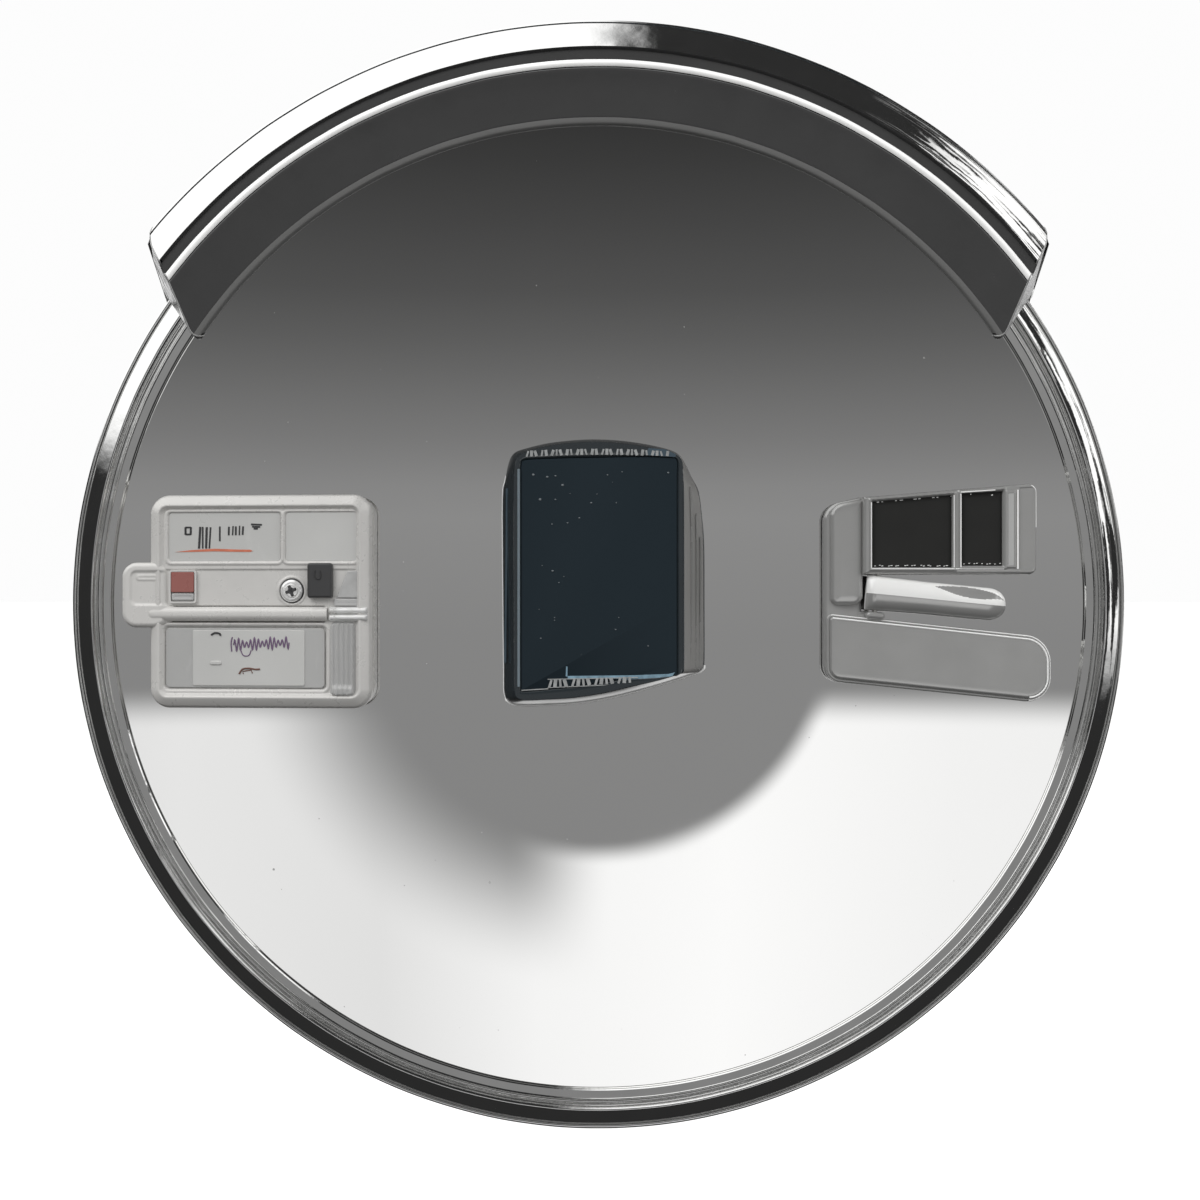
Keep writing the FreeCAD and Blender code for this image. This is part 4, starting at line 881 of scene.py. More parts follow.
def collar_height(x, y):
    """Two round rods side by side."""
    z = 14.6 + 2.6 * np.sqrt(np.maximum(0.0, 1 - np.clip(np.abs(y + 4.6) / 1.9, 0, 1) ** 2))
    z = z + 2.6 * np.sqrt(np.maximum(0.0, 1 - np.clip(np.abs(y + 8.8) / 1.9, 0, 1) ** 2))
    ends = smooth(x, 42.2, 43.2) * smooth(-x, -65.6, -64.8)
    return 15.6 + (z - 14.6) * (0.55 + 0.45 * ends) - 0.6 * hump(x, 46.0, 0.6)


relief("collar_rods", (41.8, 66.0, -11.4, -2.0), 0.35, collar_distance, collar_height, 12.6, LEFT,
       SCREW_CHROME,
       replaces=("latch_collar",), slot="housing_silver", sharp=50)
moulded("collar_step", rect(44.9, 62.0, -1.9, 2.6), 0.8,
        [(0, 13.0)] + quarter(0, 15.9, 0.8) + [(2.2, 15.5)], LEFT,
        CLEAR, slot="clear", sharp=50)


# clear ribbed strip running down over the border
def strip_distance(x, y):
    return rect_distance(x, y, *STRIP_BOX, 3.4)


def strip_height(x, y):
    """Five sharp ribs that climb over the border."""
    d = -strip_distance(x, y)
    ribs = np.abs(np.cos((x - STRIP_BOX[0]) * math.pi / 3.12)) ** 0.6
    edge = smooth(d, 0.0, 1.6)
    return 14.6 + (0.8 + 1.7 * (1 - ribs)) * edge + 2.0 * smooth(-y, 49.0, 52.0) * smooth(d, 0.4, 2.4)


relief("ribbed_strip_clear", STRIP_BOX, 0.35, strip_distance, strip_height, 13.4, LEFT, CLEAR,
       replaces=("left_ribbed_strip",), slot="clear", sharp=50)

# lens with its clear step and thin surround
moulded("lens_red", rect(-55.3, -41.1, 6.4, 18.7), 0.9, [(0, 12.0)] + quarter(0, 16.8,
                                                                              0.5) + [(1.0, 16.75)], LEFT,
        RED, replaces=("left_lens",), slot="red_lens", sharp=50)
moulded("lens_step", rect(-55.3, -41.1, 1.2, 6.2), 1.4, [(0, 12.0)] + quarter(0, 16.2, 1.2) + [(2.0, 15.7)],
        LEFT,
        CLEAR, slot="clear", sharp=50)


def surround_distance(x, y):
    """Thin frame round the lens and its step."""
    outer = rect_distance(x, y, -56.6, -39.8, -0.2, 20.0, 1.6)
    inner = rect_distance(x, y, -55.6, -40.8, 0.9, 19.0, 1.0)
    return np.maximum(outer, -inner)


relief("lens_surround", (-56.8, -39.6, -0.4, 20.2), 0.25, surround_distance,
       lambda x, y: 16.3 + 0 * x, 13.5, LEFT, HOUSING, slot="housing_grey", sharp=50)


def bar_outline(x, y, length, width, lean):
    """Outline of a straight mark that starts at a point and leans by an angle."""
    c = math.cos(lean)
    n = math.sin(lean)
    half = width / 2
    return [(x + a * c - b * n, y + a * n + b * c)
            for a, b in ((0, -half), (length, -half), (length, half), (0, half))]


# pan-head screw with a cross recess


def screw_distance(x, y):
    return np.hypot(x - SCREW[0], y - SCREW[1]) - 6.7


def screw_height(x, y):
    """Domed head with a ring and a cross recess."""
    u = x - SCREW[0]
    v = y - SCREW[1]
    r = np.hypot(u, v)
    z = 14.2 + 3.6 * np.sqrt(np.maximum(0.0, 1 - (r / 7.4) ** 2))
    z = z - 0.5 * hump(r, 4.4, 0.7)
    turn = math.radians(20)
    p = np.abs(u * math.cos(turn) + v * math.sin(turn))
    q = np.abs(-u * math.sin(turn) + v * math.cos(turn))
    arm = np.minimum(np.maximum(p - 3.4, q - 0.85), np.maximum(q - 3.4, p - 0.85))
    return z - 2.4 * smooth(-arm, -0.1, 0.4) - 0.8 * smooth(2.0 - r, -0.3, 0.6)


relief("pan_head_screw", (12.1, 25.9, 0.4, 14.2), 0.22, screw_distance, screw_height, 13.2, LEFT,
       SCREW_CHROME,
       replaces=("left_cover_screw",), slot="zinc", sharp=45)


# dark blocks fill the cross recess as painted shade; a dark ring round the head's seat is a painted shadow
recess_shade_arms = [bar_outline(SCREW[0] - 2.9 * math.cos(turn), SCREW[1] - 2.9 * math.sin(turn), 5.8, 1.7, turn)
              for turn in (math.radians(20), math.radians(110))]
blocks("screw_recess_shade", [(arm, 16.0, 17.75) for arm in recess_shade_arms], LEFT, DARK_PRINT_AND_SHADE, slot="dark_plastic")
shadow_ring_path = [LEFT((SCREW[0] + 7.1 * math.cos(k * math.pi / 24), SCREW[1] + 7.1 * math.sin(k * math.pi / 24),
                   14.6))
             for k in range(49)]
tube_along("screw_seat_shadow_ring", shadow_ring_path, 0.4, 6, DARK_PRINT_AND_SHADE, slot="dark_plastic")


# hook-shaped notch mark on the button
def left_path(points, z):
    """Row-frame line at one depth on the left unit."""
    return [LEFT((x, y, z)) for x, y in points]


moulded("button_block", rect(29.3, 44.4, 3.0, 24.1), 1.6, [(0, 10.6), (0, 16.4)] + quarter(0, 19.6, 1.8)
        + [(4.0, 19.5)], LEFT, BUTTON_BLACK, body="button", replaces=("button_cap",), slot="dark_plastic",
        sharp=50)
moulded("light_guide_wedge", [(46.4, 3.0), (61.4, 3.0), (61.4, 19.4), (53.2, 19.4)], 1.0,
        [(0, 13.6)] + quarter(0, 15.9, 0.7) + [(2.0, 15.6)], LEFT, LIGHT_GUIDE,
        replaces=("left_light_guide",),
        slot="clear", sharp=50)
notch = [(34.4, 19.6), (34.1, 17.0), (34.6, 15.0), (36.0, 14.3), (37.4, 14.8), (37.8, 16.2), (37.6, 19.4)]
tube_along("button_notch", left_path(smooth_line(notch, 4), 19.7), 0.35, 6, BLACK, body="button",
                         slot="dark_plastic")


# generic marks on the labels: ticks, a tapering underline and plain strokes
LABEL_TOP = 14.75
upright = math.radians(90)
ticks = []
DASH_SHIFT = 1.4
for k, (x, foot, tall, wide) in enumerate((
        (-46.6, 41.4, 4.6, 1.0), (-43.4, 41.4, 4.6, 1.0),
        (-38.2, 33.0, 13.2, 1.1), (-35.9, 33.0, 13.2, 0.8), (-33.8, 33.0, 13.0, 1.1),
        (-31.8, 33.0, 13.0, 0.8),
        (-26.9, 37.4, 9.0, 0.8), (-21.4, 41.0, 5.2, 0.9), (-19.0, 41.0, 5.6, 0.7), (-17.0, 41.0, 5.4, 0.9),
        (-14.8, 41.0, 5.8, 0.7), (-12.8, 41.2, 5.2, 0.9))):
    outline = bar_outline(x + (DASH_SHIFT if x > -28 else -0.2), foot, tall, wide * 1.25,
                          upright - 0.03 * (k % 3))
    ticks.append((outline, LABEL_TOP, LABEL_TOP + 0.12))
for x, y, length in ((-7.6, 47.6, 6.8), (-6.9, 46.2, 5.0), (-6.0, 45.0, 2.6)):
    ticks.append((bar_outline(x + DASH_SHIFT, y, length, 1.1, -0.05), LABEL_TOP, LABEL_TOP + 0.12))
for y in (41.6, 45.8):
    ticks.append((bar_outline(-46.8, y, 3.4, 1.1, 0.0), LABEL_TOP, LABEL_TOP + 0.12))
blocks("label_ticks", ticks, LEFT, DARK_PRINT_AND_SHADE, slot="dark_plastic")
underline = [(-53.4, 30.9), (-43.0, 31.0), (-29.0, 31.3), (-15.0, 31.0), (-6.6, 30.9), (-5.0, 31.5),
             (-6.8, 32.3),
             (-15.0, 32.4), (-29.0, 32.9), (-43.0, 32.1)]
blocks("label_underline", [(underline, LABEL_TOP, LABEL_TOP + 0.14)], LEFT, MARK_RED, slot="red_lens")

LOW_TOP = 15.1
wave = []
for k in range(57):
    x = -16.8 + 0.61 * k
    swing = 2.6 + 1.2 * math.sin(k * 0.37)
    wave.append((x, -25.4 + 0.045 * (x + 16) + swing * math.sin(k * math.pi / 2.0) * 1.1))


def stroke(name, points, radius, material, steps=5, lift=0.05):
    """Printed line that stands just proud of the lower label."""
    line = smooth_line(points, steps) if steps else points
    tube_along(name, left_path(line, LOW_TOP + lift), radius, 6, material, slot="dark_plastic")


stroke("label_wave", wave, 0.42, MARK_PURPLE, steps=3)
stroke("label_wave_tail", [(-17.6, -20.6), (-18.4, -24.0), (-18.0, -29.4)], 0.42, MARK_PURPLE)
stroke("label_wave_foot", [(-12.8, -27.4), (-11.0, -31.6), (-7.6, -31.8), (-6.0, -28.6)], 0.34, MARK_PURPLE)
arch = [(-13.4, -43.0), (-11.4, -40.2), (-7.4, -39.6), (-3.4, -40.2), (-0.6, -40.0)]
stroke("label_stroke", arch, 0.55, MARK_BROWN)
legs = [(-10.8, -43.0), (-11.2, -41.4), (-6.0, -40.6), (-5.2, -42.6)]
stroke("label_stroke_legs", legs, 0.34, MARK_BROWN, steps=0)
clip = [(-30.8, -19.4), (-28.4, -18.2), (-25.6, -18.6), (-24.9, -19.8)]
stroke("label_clip", clip, 0.6, DARK_PRINT_AND_SHADE, lift=0.1)
moulded("label_pip", rect(-31.6, -24.2, -37.6, -35.0), 1.2,
        [(0, LOW_TOP - 0.2)] + quarter(0, LOW_TOP + 0.7, 0.7),
        LEFT, LABEL_LIGHT, slot="label", sharp=60)

# ------------------------------------------------------------------ centre display unit
CENTRE_OUTER = [(-58.1, 63.0), (-57.9, 10.0), (-57.4, -40.0), (-57.0, -55.0), (-53.6, -60.4), (-46.0, -61.8),
                (-33.6, -61.6), (-15.0, -60.6), (3.9, -57.8), (22.0, -53.6), (39.0, -48.8), (56.0, -43.4),
                (62.6, -40.6), (64.2, -34.0), (64.2, 0.0), (64.0, 34.8), (62.7, 52.0), (60.6, 67.4),
                (56.4, 76.0),
                (51.2, 86.6), (45.4, 91.8), (32.3, 95.4), (16.0, 98.0), (0.0, 99.0), (-14.0, 98.6),
                (-30.0, 96.8),
                (-43.0, 93.8), (-50.6, 91.0), (-54.2, 85.4), (-56.6, 74.0)]
CENTRE_FACE = [(-50.6, 63.0), (-50.4, 10.0), (-50.2, -40.0), (-49.8, -54.0), (-46.8, -57.4), (-41.0, -58.0),
               (-30.0, -57.4), (-14.0, -56.2), (3.9, -53.4), (20.0, -49.6), (36.0, -46.2), (47.0, -42.8),
               (50.0, -41.4), (50.6, -36.0), (50.6, 0.0), (50.6, 34.8), (50.6, 52.0), (50.6, 67.4),
               (50.4, 76.0),
               (49.6, 85.6), (43.4, 89.8), (30.3, 92.8), (15.0, 95.0), (0.0, 96.2), (-13.0, 95.8),
               (-28.0, 94.0),
               (-40.0, 91.2), (-46.6, 88.4), (-49.6, 83.4), (-50.4, 74.0)]
CENTRE_GLASS = [(-46.6, 63.0), (-46.6, 10.0), (-46.6, -40.0), (-46.4, -51.6), (-45.6, -52.6), (-40.0, -52.6),
                (-28.0, -51.4), (-13.0, -50.0), (3.6, -47.4), (18.0, -45.4), (34.0, -44.6), (45.4, -43.6),
                (47.0, -42.8), (47.2, -36.0), (47.2, 0.0), (47.2, 34.8), (47.2, 52.0), (47.2, 67.4),
                (47.2, 76.0),
                (47.0, 85.6), (42.0, 87.0), (29.0, 87.6), (14.0, 87.6), (0.0, 87.4), (-12.4, 87.2),
                (-26.0, 86.8),
                (-38.0, 86.2), (-44.6, 85.6), (-46.4, 83.0), (-46.6, 74.0)]


def closed_smooth(points, steps=4):
    """Closed Catmull-Rom through the points."""
    n = len(points)
    out = []
    for i in range(n):
        p0, p1, p2, p3 = [points[(i + k) % n] for k in (-1, 0, 1, 2)]
        for k in range(steps):
            t = k / steps
            out.append(tuple(0.5 * (2 * b + (c - a) * t + (2 * a - 5 * b + 4 * c - d) * t * t
                                    + (3 * b - a - 3 * c + d) * t ** 3) for a, b, c,
                                    d in zip(p0, p1, p2, p3)))
    return out


def between(a, b, t):
    """Outline part of the way from one outline to another."""
    return [(p[0] + (q[0] - p[0]) * t, p[1] + (q[1] - p[1]) * t) for p, q in zip(a, b)]


outer_line = closed_smooth(CENTRE_OUTER)
face_line = closed_smooth(CENTRE_FACE)
glass_line = closed_smooth(CENTRE_GLASS)
centre_rings = [(between(outer_line, face_line, 0.10), 1.0), (outer_line, 2.4), (outer_line, 4.6),
                (between(outer_line, face_line, 0.06), 6.2), (between(outer_line, face_line, 0.88), 18.6),
                (between(outer_line, face_line, 0.95), 19.5), (face_line, 20.0),
                (between(face_line, glass_line, 0.55), 20.0), (between(face_line, glass_line, 0.85), 19.8),
                (glass_line, 19.2), (between(glass_line, face_line, -0.03), 18.6),
                (between(glass_line, face_line, -0.05), 16.8)]
centre_case = stack("centre_case", centre_rings, CENTRE, HOUSING_DARK, replaces=("centre_housing",),
                    slot="housing_grey", sharp=50)
centre_case.data.materials.append(SIDE_GREY)
loop_n = len(outer_line)
for index, poly in enumerate(centre_case.data.polygons):
    ring_row = index // loop_n
    if ring_row in (3, 4) and index < loop_n * (len(centre_rings) - 1):
        spot = face_line[index % loop_n]
        if spot[0] > 49.0:
            poly.material_index = 1
stack("centre_screen", [(between(glass_line, face_line, -0.06), 17.0),
                        (between(glass_line, face_line, -0.06), 18.9),
                        (between(glass_line, face_line, -0.14), 19.3)], CENTRE, DISPLAY,
      replaces=("centre_glass",), slot="display_glass", sharp=50)


LIP_LEFT = sorted([p for p in outer_line if p[0] < -50 and -54 < p[1] < 80], key=lambda p: -p[1])
LIP_UNDER = sorted([p for p in outer_line if p[1] <= -36 and not (p[0] < -50 and p[1] > -54)],
                   key=lambda p: p[0])
lip_line = LIP_LEFT + LIP_UNDER
LIP_SIDE_RADIUS = 0.35
LIP_UNDER_RADIUS = 0.95
lip_radii = [LIP_SIDE_RADIUS if x < -56 else LIP_UNDER_RADIUS for x, y in lip_line]
# white tube along the case's left and lower lip: painted highlight of the edge
tube_along("centre_edge_lip_highlight", [CENTRE((x, y, 4.4)) for x, y in lip_line], lip_radii, 8, HIGHLIGHT_AND_SOLDER_WHITE,
           replaces=("centre_side_lip",), slot="housing_silver")

SIDE_RIBS = ((0.30, 70.0, -38.0), (0.55, 54.0, -40.0), (0.74, 40.0, -40.5))
for number, (share, top_y, low_y) in enumerate(SIDE_RIBS):
    rib = []
    for k in range(15):
        y = top_y + (low_y - top_y) * k / 14
        bow = 2.2 * math.sin(math.pi * (y + 40) / 130)
        rib.append(CENTRE((50.9 + 13.0 * share + bow * 0.5, y, 19.1 - 13.6 * share)))
    tube_along("centre_side_rib_%d" % (number + 1), rib, 0.42, 6, SIDE_RIB, slot="housing_silver")
inner_edge = [CENTRE((-47.7, y, 19.9)) for y in range(-50, 85, 5)]
tube_along("centre_inner_edge_left", inner_edge, 0.85, 8, LINE_GREY, slot="housing_silver")
flank = [CENTRE((-55.6 + 0.6 * math.sin(y / 40), y, 11.2)) for y in range(-36, 74, 5)]
tube_along("centre_flank_line", flank, 0.8, 6, BLUE_DARK, slot="housing_grey")

# light segments above and below the screen
segments = []
for k in range(29):
    x = -43.0 + 3.0 * k
    y = 88.6 + 1.4 * math.cos(x / 30.0)
    tall = 3.6 if k < 24 else 3.0
    lean = 0.16 * ((k * 7) % 5 - 2)
    segments.append((bar_outline(x, y - tall / 2 + 0.4, tall, 1.7 if k % 3 else 1.1, upright + lean), 19.9,
                     20.25))
for k in range(15):
    x = -29.5 + 3.45 * k
    y = -48.2 + 0.05 * (x + 29)
    tall = 4.8 - 0.09 * k
    lean = 0.2 * ((k * 5) % 4 - 1.5)
    segments.append((bar_outline(x, y - tall / 2, tall, 2.1 if k % 2 else 1.4, upright + lean), 19.2, 20.1))
segments.append((bar_outline(-30.4, -50.6, 54.0, 0.5, 0.045), 19.2, 19.9))
segments.append((bar_outline(-30.4, -45.6, 54.0, 0.5, 0.02), 19.2, 19.9))
segments.append((bar_outline(-46.0, -52.2, 16.0, 0.6, 0.06), 19.2, 19.9))
patch_outline = [(28.0, 88.4), (46.0, 87.2), (46.4, 88.8), (40.0, 91.8), (30.0, 92.6)]
blocks("centre_patch", [(patch_outline, 19.9, 20.15)], CENTRE, BLUE_DARK, slot="label")
blocks("centre_segments", segments, CENTRE, STRIP_MARK, replaces=("centre_vent_strips",), slot="label")
bars = [([(-19.6, -43.8), (-18.6, -44.0), (-18.4, -38.0), (-19.4, -37.8)], 19.2, 19.55),
        ([(-18.4, -45.2), (4.0, -44.6), (22.0, -46.6), (44.0, -44.0), (45.6, -41.4), (42.0, -42.4),
          (20.0, -43.2),
          (-18.4, -43.6)], 19.2, 19.5)]
blocks("centre_blue_bars", bars, CENTRE, BLUE_MARK, slot="label")

# water drops scattered on the screen
DROPS = ((-39.0, 76.7, 1.4), (-30.7, 75.4, 1.0), (-25.7, 76.0, 0.9), (-21.5, 70.5, 1.3), (-34.9, 61.9, 1.4),
         (-25.7, 61.9, 0.8), (5.4, 76.6, 0.8), (14.1, 78.4, 0.7), (41.7, 77.9, 1.1), (-17.0, 65.4, 0.5),
         (-0.9, 65.1, 0.5), (-4.3, 59.9, 0.9), (10.6, 59.9, 0.7), (-11.5, 50.9, 0.8), (-18.5, 47.9, 0.8),
         (-27.8, 47.2, 0.8), (-33.7, 22.4, 0.6), (-27.5, 19.2, 1.0), (-20.7, 15.8, 0.5), (-23.7, 12.2, 0.7),
         (-35.5, -3.8, 0.6), (-26.3, -8.7, 0.6), (-26.3, -10.3, 0.6), (-34.5, -21.1, 0.8), (12.1, -8.7, 0.7),
         (10.2, -15.9, 0.7), (29.7, -25.7, 0.8), (-10.3, -30.8, 0.4), (8.4, 72.2, 0.4))
drop_verts = []
drop_faces = []
for number, (x, y, size) in enumerate(DROPS):
    first = len(drop_verts)
    stretch = 1.0 + 0.35 * ((number * 3) % 4) / 3
    for r, z in ((1.0, 19.25), (0.85, 19.5), (0.5, 19.72)):
        for k in range(10):
            a = 2 * math.pi * k / 10
            drop_verts.append(CENTRE((x + size * 0.62 * r * stretch * math.cos(a),
                                      y + size * 0.55 * r * math.sin(a), z)))
    for face in sweep_grid(3, 10, False, True):
        drop_faces.append(tuple(first + k for k in face))
    drop_faces.append(tuple(first + k for k in range(10)))
    drop_faces.append(tuple(first + 20 + k for k in range(10)))
drops = piece("centre_drops", drop_verts, drop_faces, DROP, "head", slot="clear", sharp=None)
fix_winding(drops)

# ------------------------------------------------------------------ right solar unit
def right_part(name, corners, radius, profile, **more):
    """Moulded piece of the right unit in its polished finish."""
    moulded(name, corners, radius, profile, RIGHT, HOUSING_MID, slot="housing_grey", sharp=55, **more)


shell = [(-67.4, -47.0), (-43.9, -49.8), (-43.9, 64.4), (-67.4, 58.8)]
right_part("right_shell", shell, (10.0, 2.0, 1.0, 12.0),
           [(0.6, 1.2), (0, 3.0)] + quarter(0, 8.4, 3.2) + [(4.0, 8.4)], replaces=("right_base",))
column = [(-64.0, -1.6), (-43.8, -1.6), (-43.8, 63.0), (-64.0, 59.0)]
right_part("right_column", column, (5.0, 6.5, 1.0, 9.0),
           [(0, 7.0)] + quarter(0, 12.4, 3.4) + [(6.0, 12.6)])
shelf = [(-65.0, -8.0), (-30.6, -11.6), (-30.6, -5.8), (-44.4, -4.6), (-65.0, -1.0)]
right_part("right_shelf", shelf, 1.2, [(0, 2.0)] + quarter(0, 8.2, 2.2))
boss = [(-42.6, -9.6), (-30.8, -10.8), (-30.8, -5.8), (-42.6, -4.8)]
right_part("grip_hinge_boss", boss, 2.6, [(0, 4.0)] + quarter(0, 14.0, 2.8))


# foam pads under the column, the cell case and the lower plate, cut to the dome
def foot_distance(x, y):
    """Pads below the column, the case and the plate."""
    under_column = rect_distance(x, y, -64.0, -46.0, -42.0, 55.0, 4.0)
    under_case = rect_distance(x, y, -48.0, 58.0, 21.0, 60.0, 3.0)
    fall = -27.0 - 0.105 * (x + 64.0)
    under_plate = np.maximum(np.abs(y - fall) - 17.0, np.maximum(x - 66.0, -64.0 - x))
    return np.minimum(under_column, np.minimum(under_case, under_plate))


def dome_under(x, y):
    """Depth of the dome below the unit."""
    return 0.02 - (x * x + y * y) / (2 * DOME_RADIUS)


relief("right_foot_pad", (-66.0, 68.0, -62.0, 62.0), 1.6, foot_distance, lambda x, y: 1.3 + 0 * x,
       dome_under, RIGHT,
       RUBBER, replaces=("right_pad",), slot="rubber", sharp=50)


def case_distance(x, y):
    """Case with a climbing top edge and round right corners."""
    top = (y - (63.8 + (x + 44.6) * 9.0 / 106.8)) * math.cos(math.atan(9.0 / 106.8))
    flat = np.maximum(np.maximum(x - 62.2, -44.6 - x), np.maximum(17.4 - y, top))
    corner = np.hypot(np.maximum(x - 57.4, 0), np.maximum(y - 67.5, 0)) - 4.8
    low_corner = np.hypot(np.maximum(x - 57.4, 0), np.minimum(y - 22.2, 0)) - 4.8
    flat = np.where((x > 57.4) & (y < 22.2), np.maximum(flat, low_corner), flat)
    return np.where((x > 57.4) & (y > 67.5), np.maximum(flat, corner), flat)


def slanted(x, y, x0, x1, y0, y1, rise):
    """Window whose upper edge climbs to the right."""
    top = y - (y1 + (x - x0) * rise)
    return np.maximum(np.maximum(x - x1, x0 - x), np.maximum(y0 - y, top))


def window_big(x, y):
    return slanted(x, y, -39.4, 9.6, 21.6, 61.0, 0.085)


def window_small(x, y):
    return slanted(x, y, 15.6, 40.8, 22.6, 66.2, 0.06)


def case_height(x, y):
    """Rolled case with two sunk windows, a raised strip and a sunk panel."""
    d = -case_distance(x, y)
    z = 16.8 - 2.4 * (1 - np.sqrt(np.maximum(0.0, 1 - np.clip(1 - d / 2.2, 0, 1) ** 2)))
    for window in (window_big(x, y), window_small(x, y)):
        z = z + 0.8 * hump(window, 1.5, 1.1) - 3.2 * smooth(-window, -0.5, 0.3)
    strip = slanted(x, y, 42.4, 49.2, 21.0, 68.0, 0.05)
    z = z + 0.9 * smooth(-strip, -0.3, 0.9) - 0.5 * smooth(-strip, 1.2, 2.2)
    panel = slanted(x, y, 51.0, 60.8, 19.6, 70.0, 0.07)
    return z - 0.7 * smooth(-panel, -0.4, 0.8)


relief("right_case", (-44.8, 62.6, 17.2, 73.4), 0.4, case_distance, case_height, 4.2, RIGHT, HOUSING_MID,
       replaces=("right_block", "right_light_strip", "right_cell_frames"), slot="housing_grey", sharp=55)
moulded("strip_insert", rect(43.6, 48.0, 22.4, 67.0), 0.8, [(0, 15.0)] + quarter(0, 17.45, 0.6), RIGHT,
        LABEL_LOW,
        slot="housing_silver", sharp=55)
for label, window in (("big", [(-39.7, 21.4), (9.8, 21.4), (9.8, 65.4), (-39.7, 61.2)]),
                      ("small", [(15.4, 22.4), (41.0, 22.4), (41.0, 67.9), (15.4, 66.4)])):
    moulded("cell_pane_" + label, window, 0.6, [(0, 12.0), (0, 14.6), (0.3, 14.9), (3.0, 14.9)], RIGHT, CELL,
            replaces=("right_cells",) if label == "big" else (), slot="cell_glass", sharp=50)
# bright flecks of solder along the panes' edges
flecks_at = []
for k in range(34):
    x = -38.0 + 1.42 * k
    if (k * 5) % 7 < 4:
        flecks_at.append((bar_outline(x, 22.3 + 0.2 * (k % 3), 0.9 + 0.3 * (k % 2), 0.35, 0.1), 14.9, 15.1))
    if (k * 3) % 8 < 4:
        flecks_at.append((bar_outline(x, 61.4 + 0.085 * (x + 39.4) - 0.9 * (k % 2), 1.0 + 0.5 * (k % 3),
                                      0.4, 0.1),
                          14.9, 15.1))
for k in range(15):
    x = 16.8 + 1.6 * k
    if (k * 3) % 5 < 3:
        flecks_at.append((bar_outline(x, 23.6 + 0.2 * (k % 3), 0.9, 0.35, 0.1), 14.9, 15.1))
flecks_at.append((bar_outline(21.2, 65.6, 0.8, 0.5, 0.8), 14.9, 15.1))
flecks_at.append((bar_outline(34.2, 65.2, 1.0, 0.6, 0.5), 14.9, 15.1))
blocks("cell_flecks", flecks_at, RIGHT, HIGHLIGHT_AND_SOLDER_WHITE, slot="housing_silver")

# white beads along the windows, the strip and round the case's top right corner: painted highlights on the
# edges
CASE_HIGHLIGHT_BEADS = (
    ("left", (-40.3, 21.2), (-40.3, 60.6), 0.34),
    ("middle", (10.6, 21.6), (10.6, 65.2), 0.30),
    ("second", (14.7, 21.6), (14.7, 66.0), 0.42),
    ("foot", (-40.3, 20.6), (41.4, 20.6), 0.30),
    ("strip", (50.0, 20.6), (50.0, 68.6), 0.55),
    ("top", (14.7, 66.9), (36.0, 68.4), 0.42),
)
for label, start, end, radius in CASE_HIGHLIGHT_BEADS:
    bead_line = [RIGHT((start[0] + (end[0] - start[0]) * k / 8, start[1] + (end[1] - start[1]) * k / 8, 17.2))
                 for k in range(9)]
    tube_along("case_highlight_bead_" + label, bead_line, radius, 8, HIGHLIGHT_AND_SOLDER_WHITE, slot="housing_silver")
end_bead_line = [(56.0, 71.2), (59.0, 71.2), (61.0, 69.6), (61.5, 67.0), (61.6, 58.0), (61.6, 46.0)]
tube_along("case_highlight_bead_end", [RIGHT((x, y, 15.9)) for x, y in smooth_line(end_bead_line, 4)], 0.32, 8,
           HIGHLIGHT_AND_SOLDER_WHITE,
           slot="housing_silver")

# lower plate: rounded right end and groove, with white beads along its edge as painted highlights
plate = [(-66.4, -47.0), (72.9, -61.8), (72.9, -21.0), (-66.4, -6.1)]
PLATE_RADII = (9.0, 14.5, 17.0, 4.0)
plate_profile = [(0.5, 1.4), (0, 3.4)] + quarter(0, 10.6, 1.4) + [(1.7, 10.3), (2.0, 10.2)] + quarter(
    2.1, 12.4, 1.7, 6) + [(4.2, 12.45), (6.0, 12.4), (9.0, 12.4)]
right_part("right_low_plate", plate, PLATE_RADII, plate_profile, replaces=("right_lower_plate",))


def upper_edge(inset, z):
    """The plate's outline along its top and round its right end, from the left."""
    line = corner_outline(plate, PLATE_RADII, inset, 12)
    start = 3 * 13 + 12
    reach = 26
    run = [line[(start - k) % len(line)] for k in range(reach + 12)]
    return [RIGHT((x, y, z)) for x, y in run[9:]]


# two white beads along the plate's upper edge: painted highlights
tube_along("right_plate_highlight_bead", upper_edge(2.6, 12.05), 0.55, 8, HIGHLIGHT_AND_SOLDER_WHITE, slot="housing_silver")
tube_along("right_plate_highlight_bead_outer", upper_edge(0.7, 10.5), 0.34, 8, HIGHLIGHT_AND_SOLDER_WHITE, slot="housing_silver")

# swinging lever: a fat rounded paddle
GRIP_PIVOT = (-36.0, 6.0, 11.4)
GRIP_TURN = math.radians(-5.5)


def grip_place(p):
    """Paddle points, from the hinge, to the row frame."""
    c = math.cos(GRIP_TURN)
    n = math.sin(GRIP_TURN)
    return RIGHT((GRIP_PIVOT[0] + p[0] * c - p[1] * n, GRIP_PIVOT[1] + p[0] * n + p[1] * c,
                  GRIP_PIVOT[2] + p[2]))


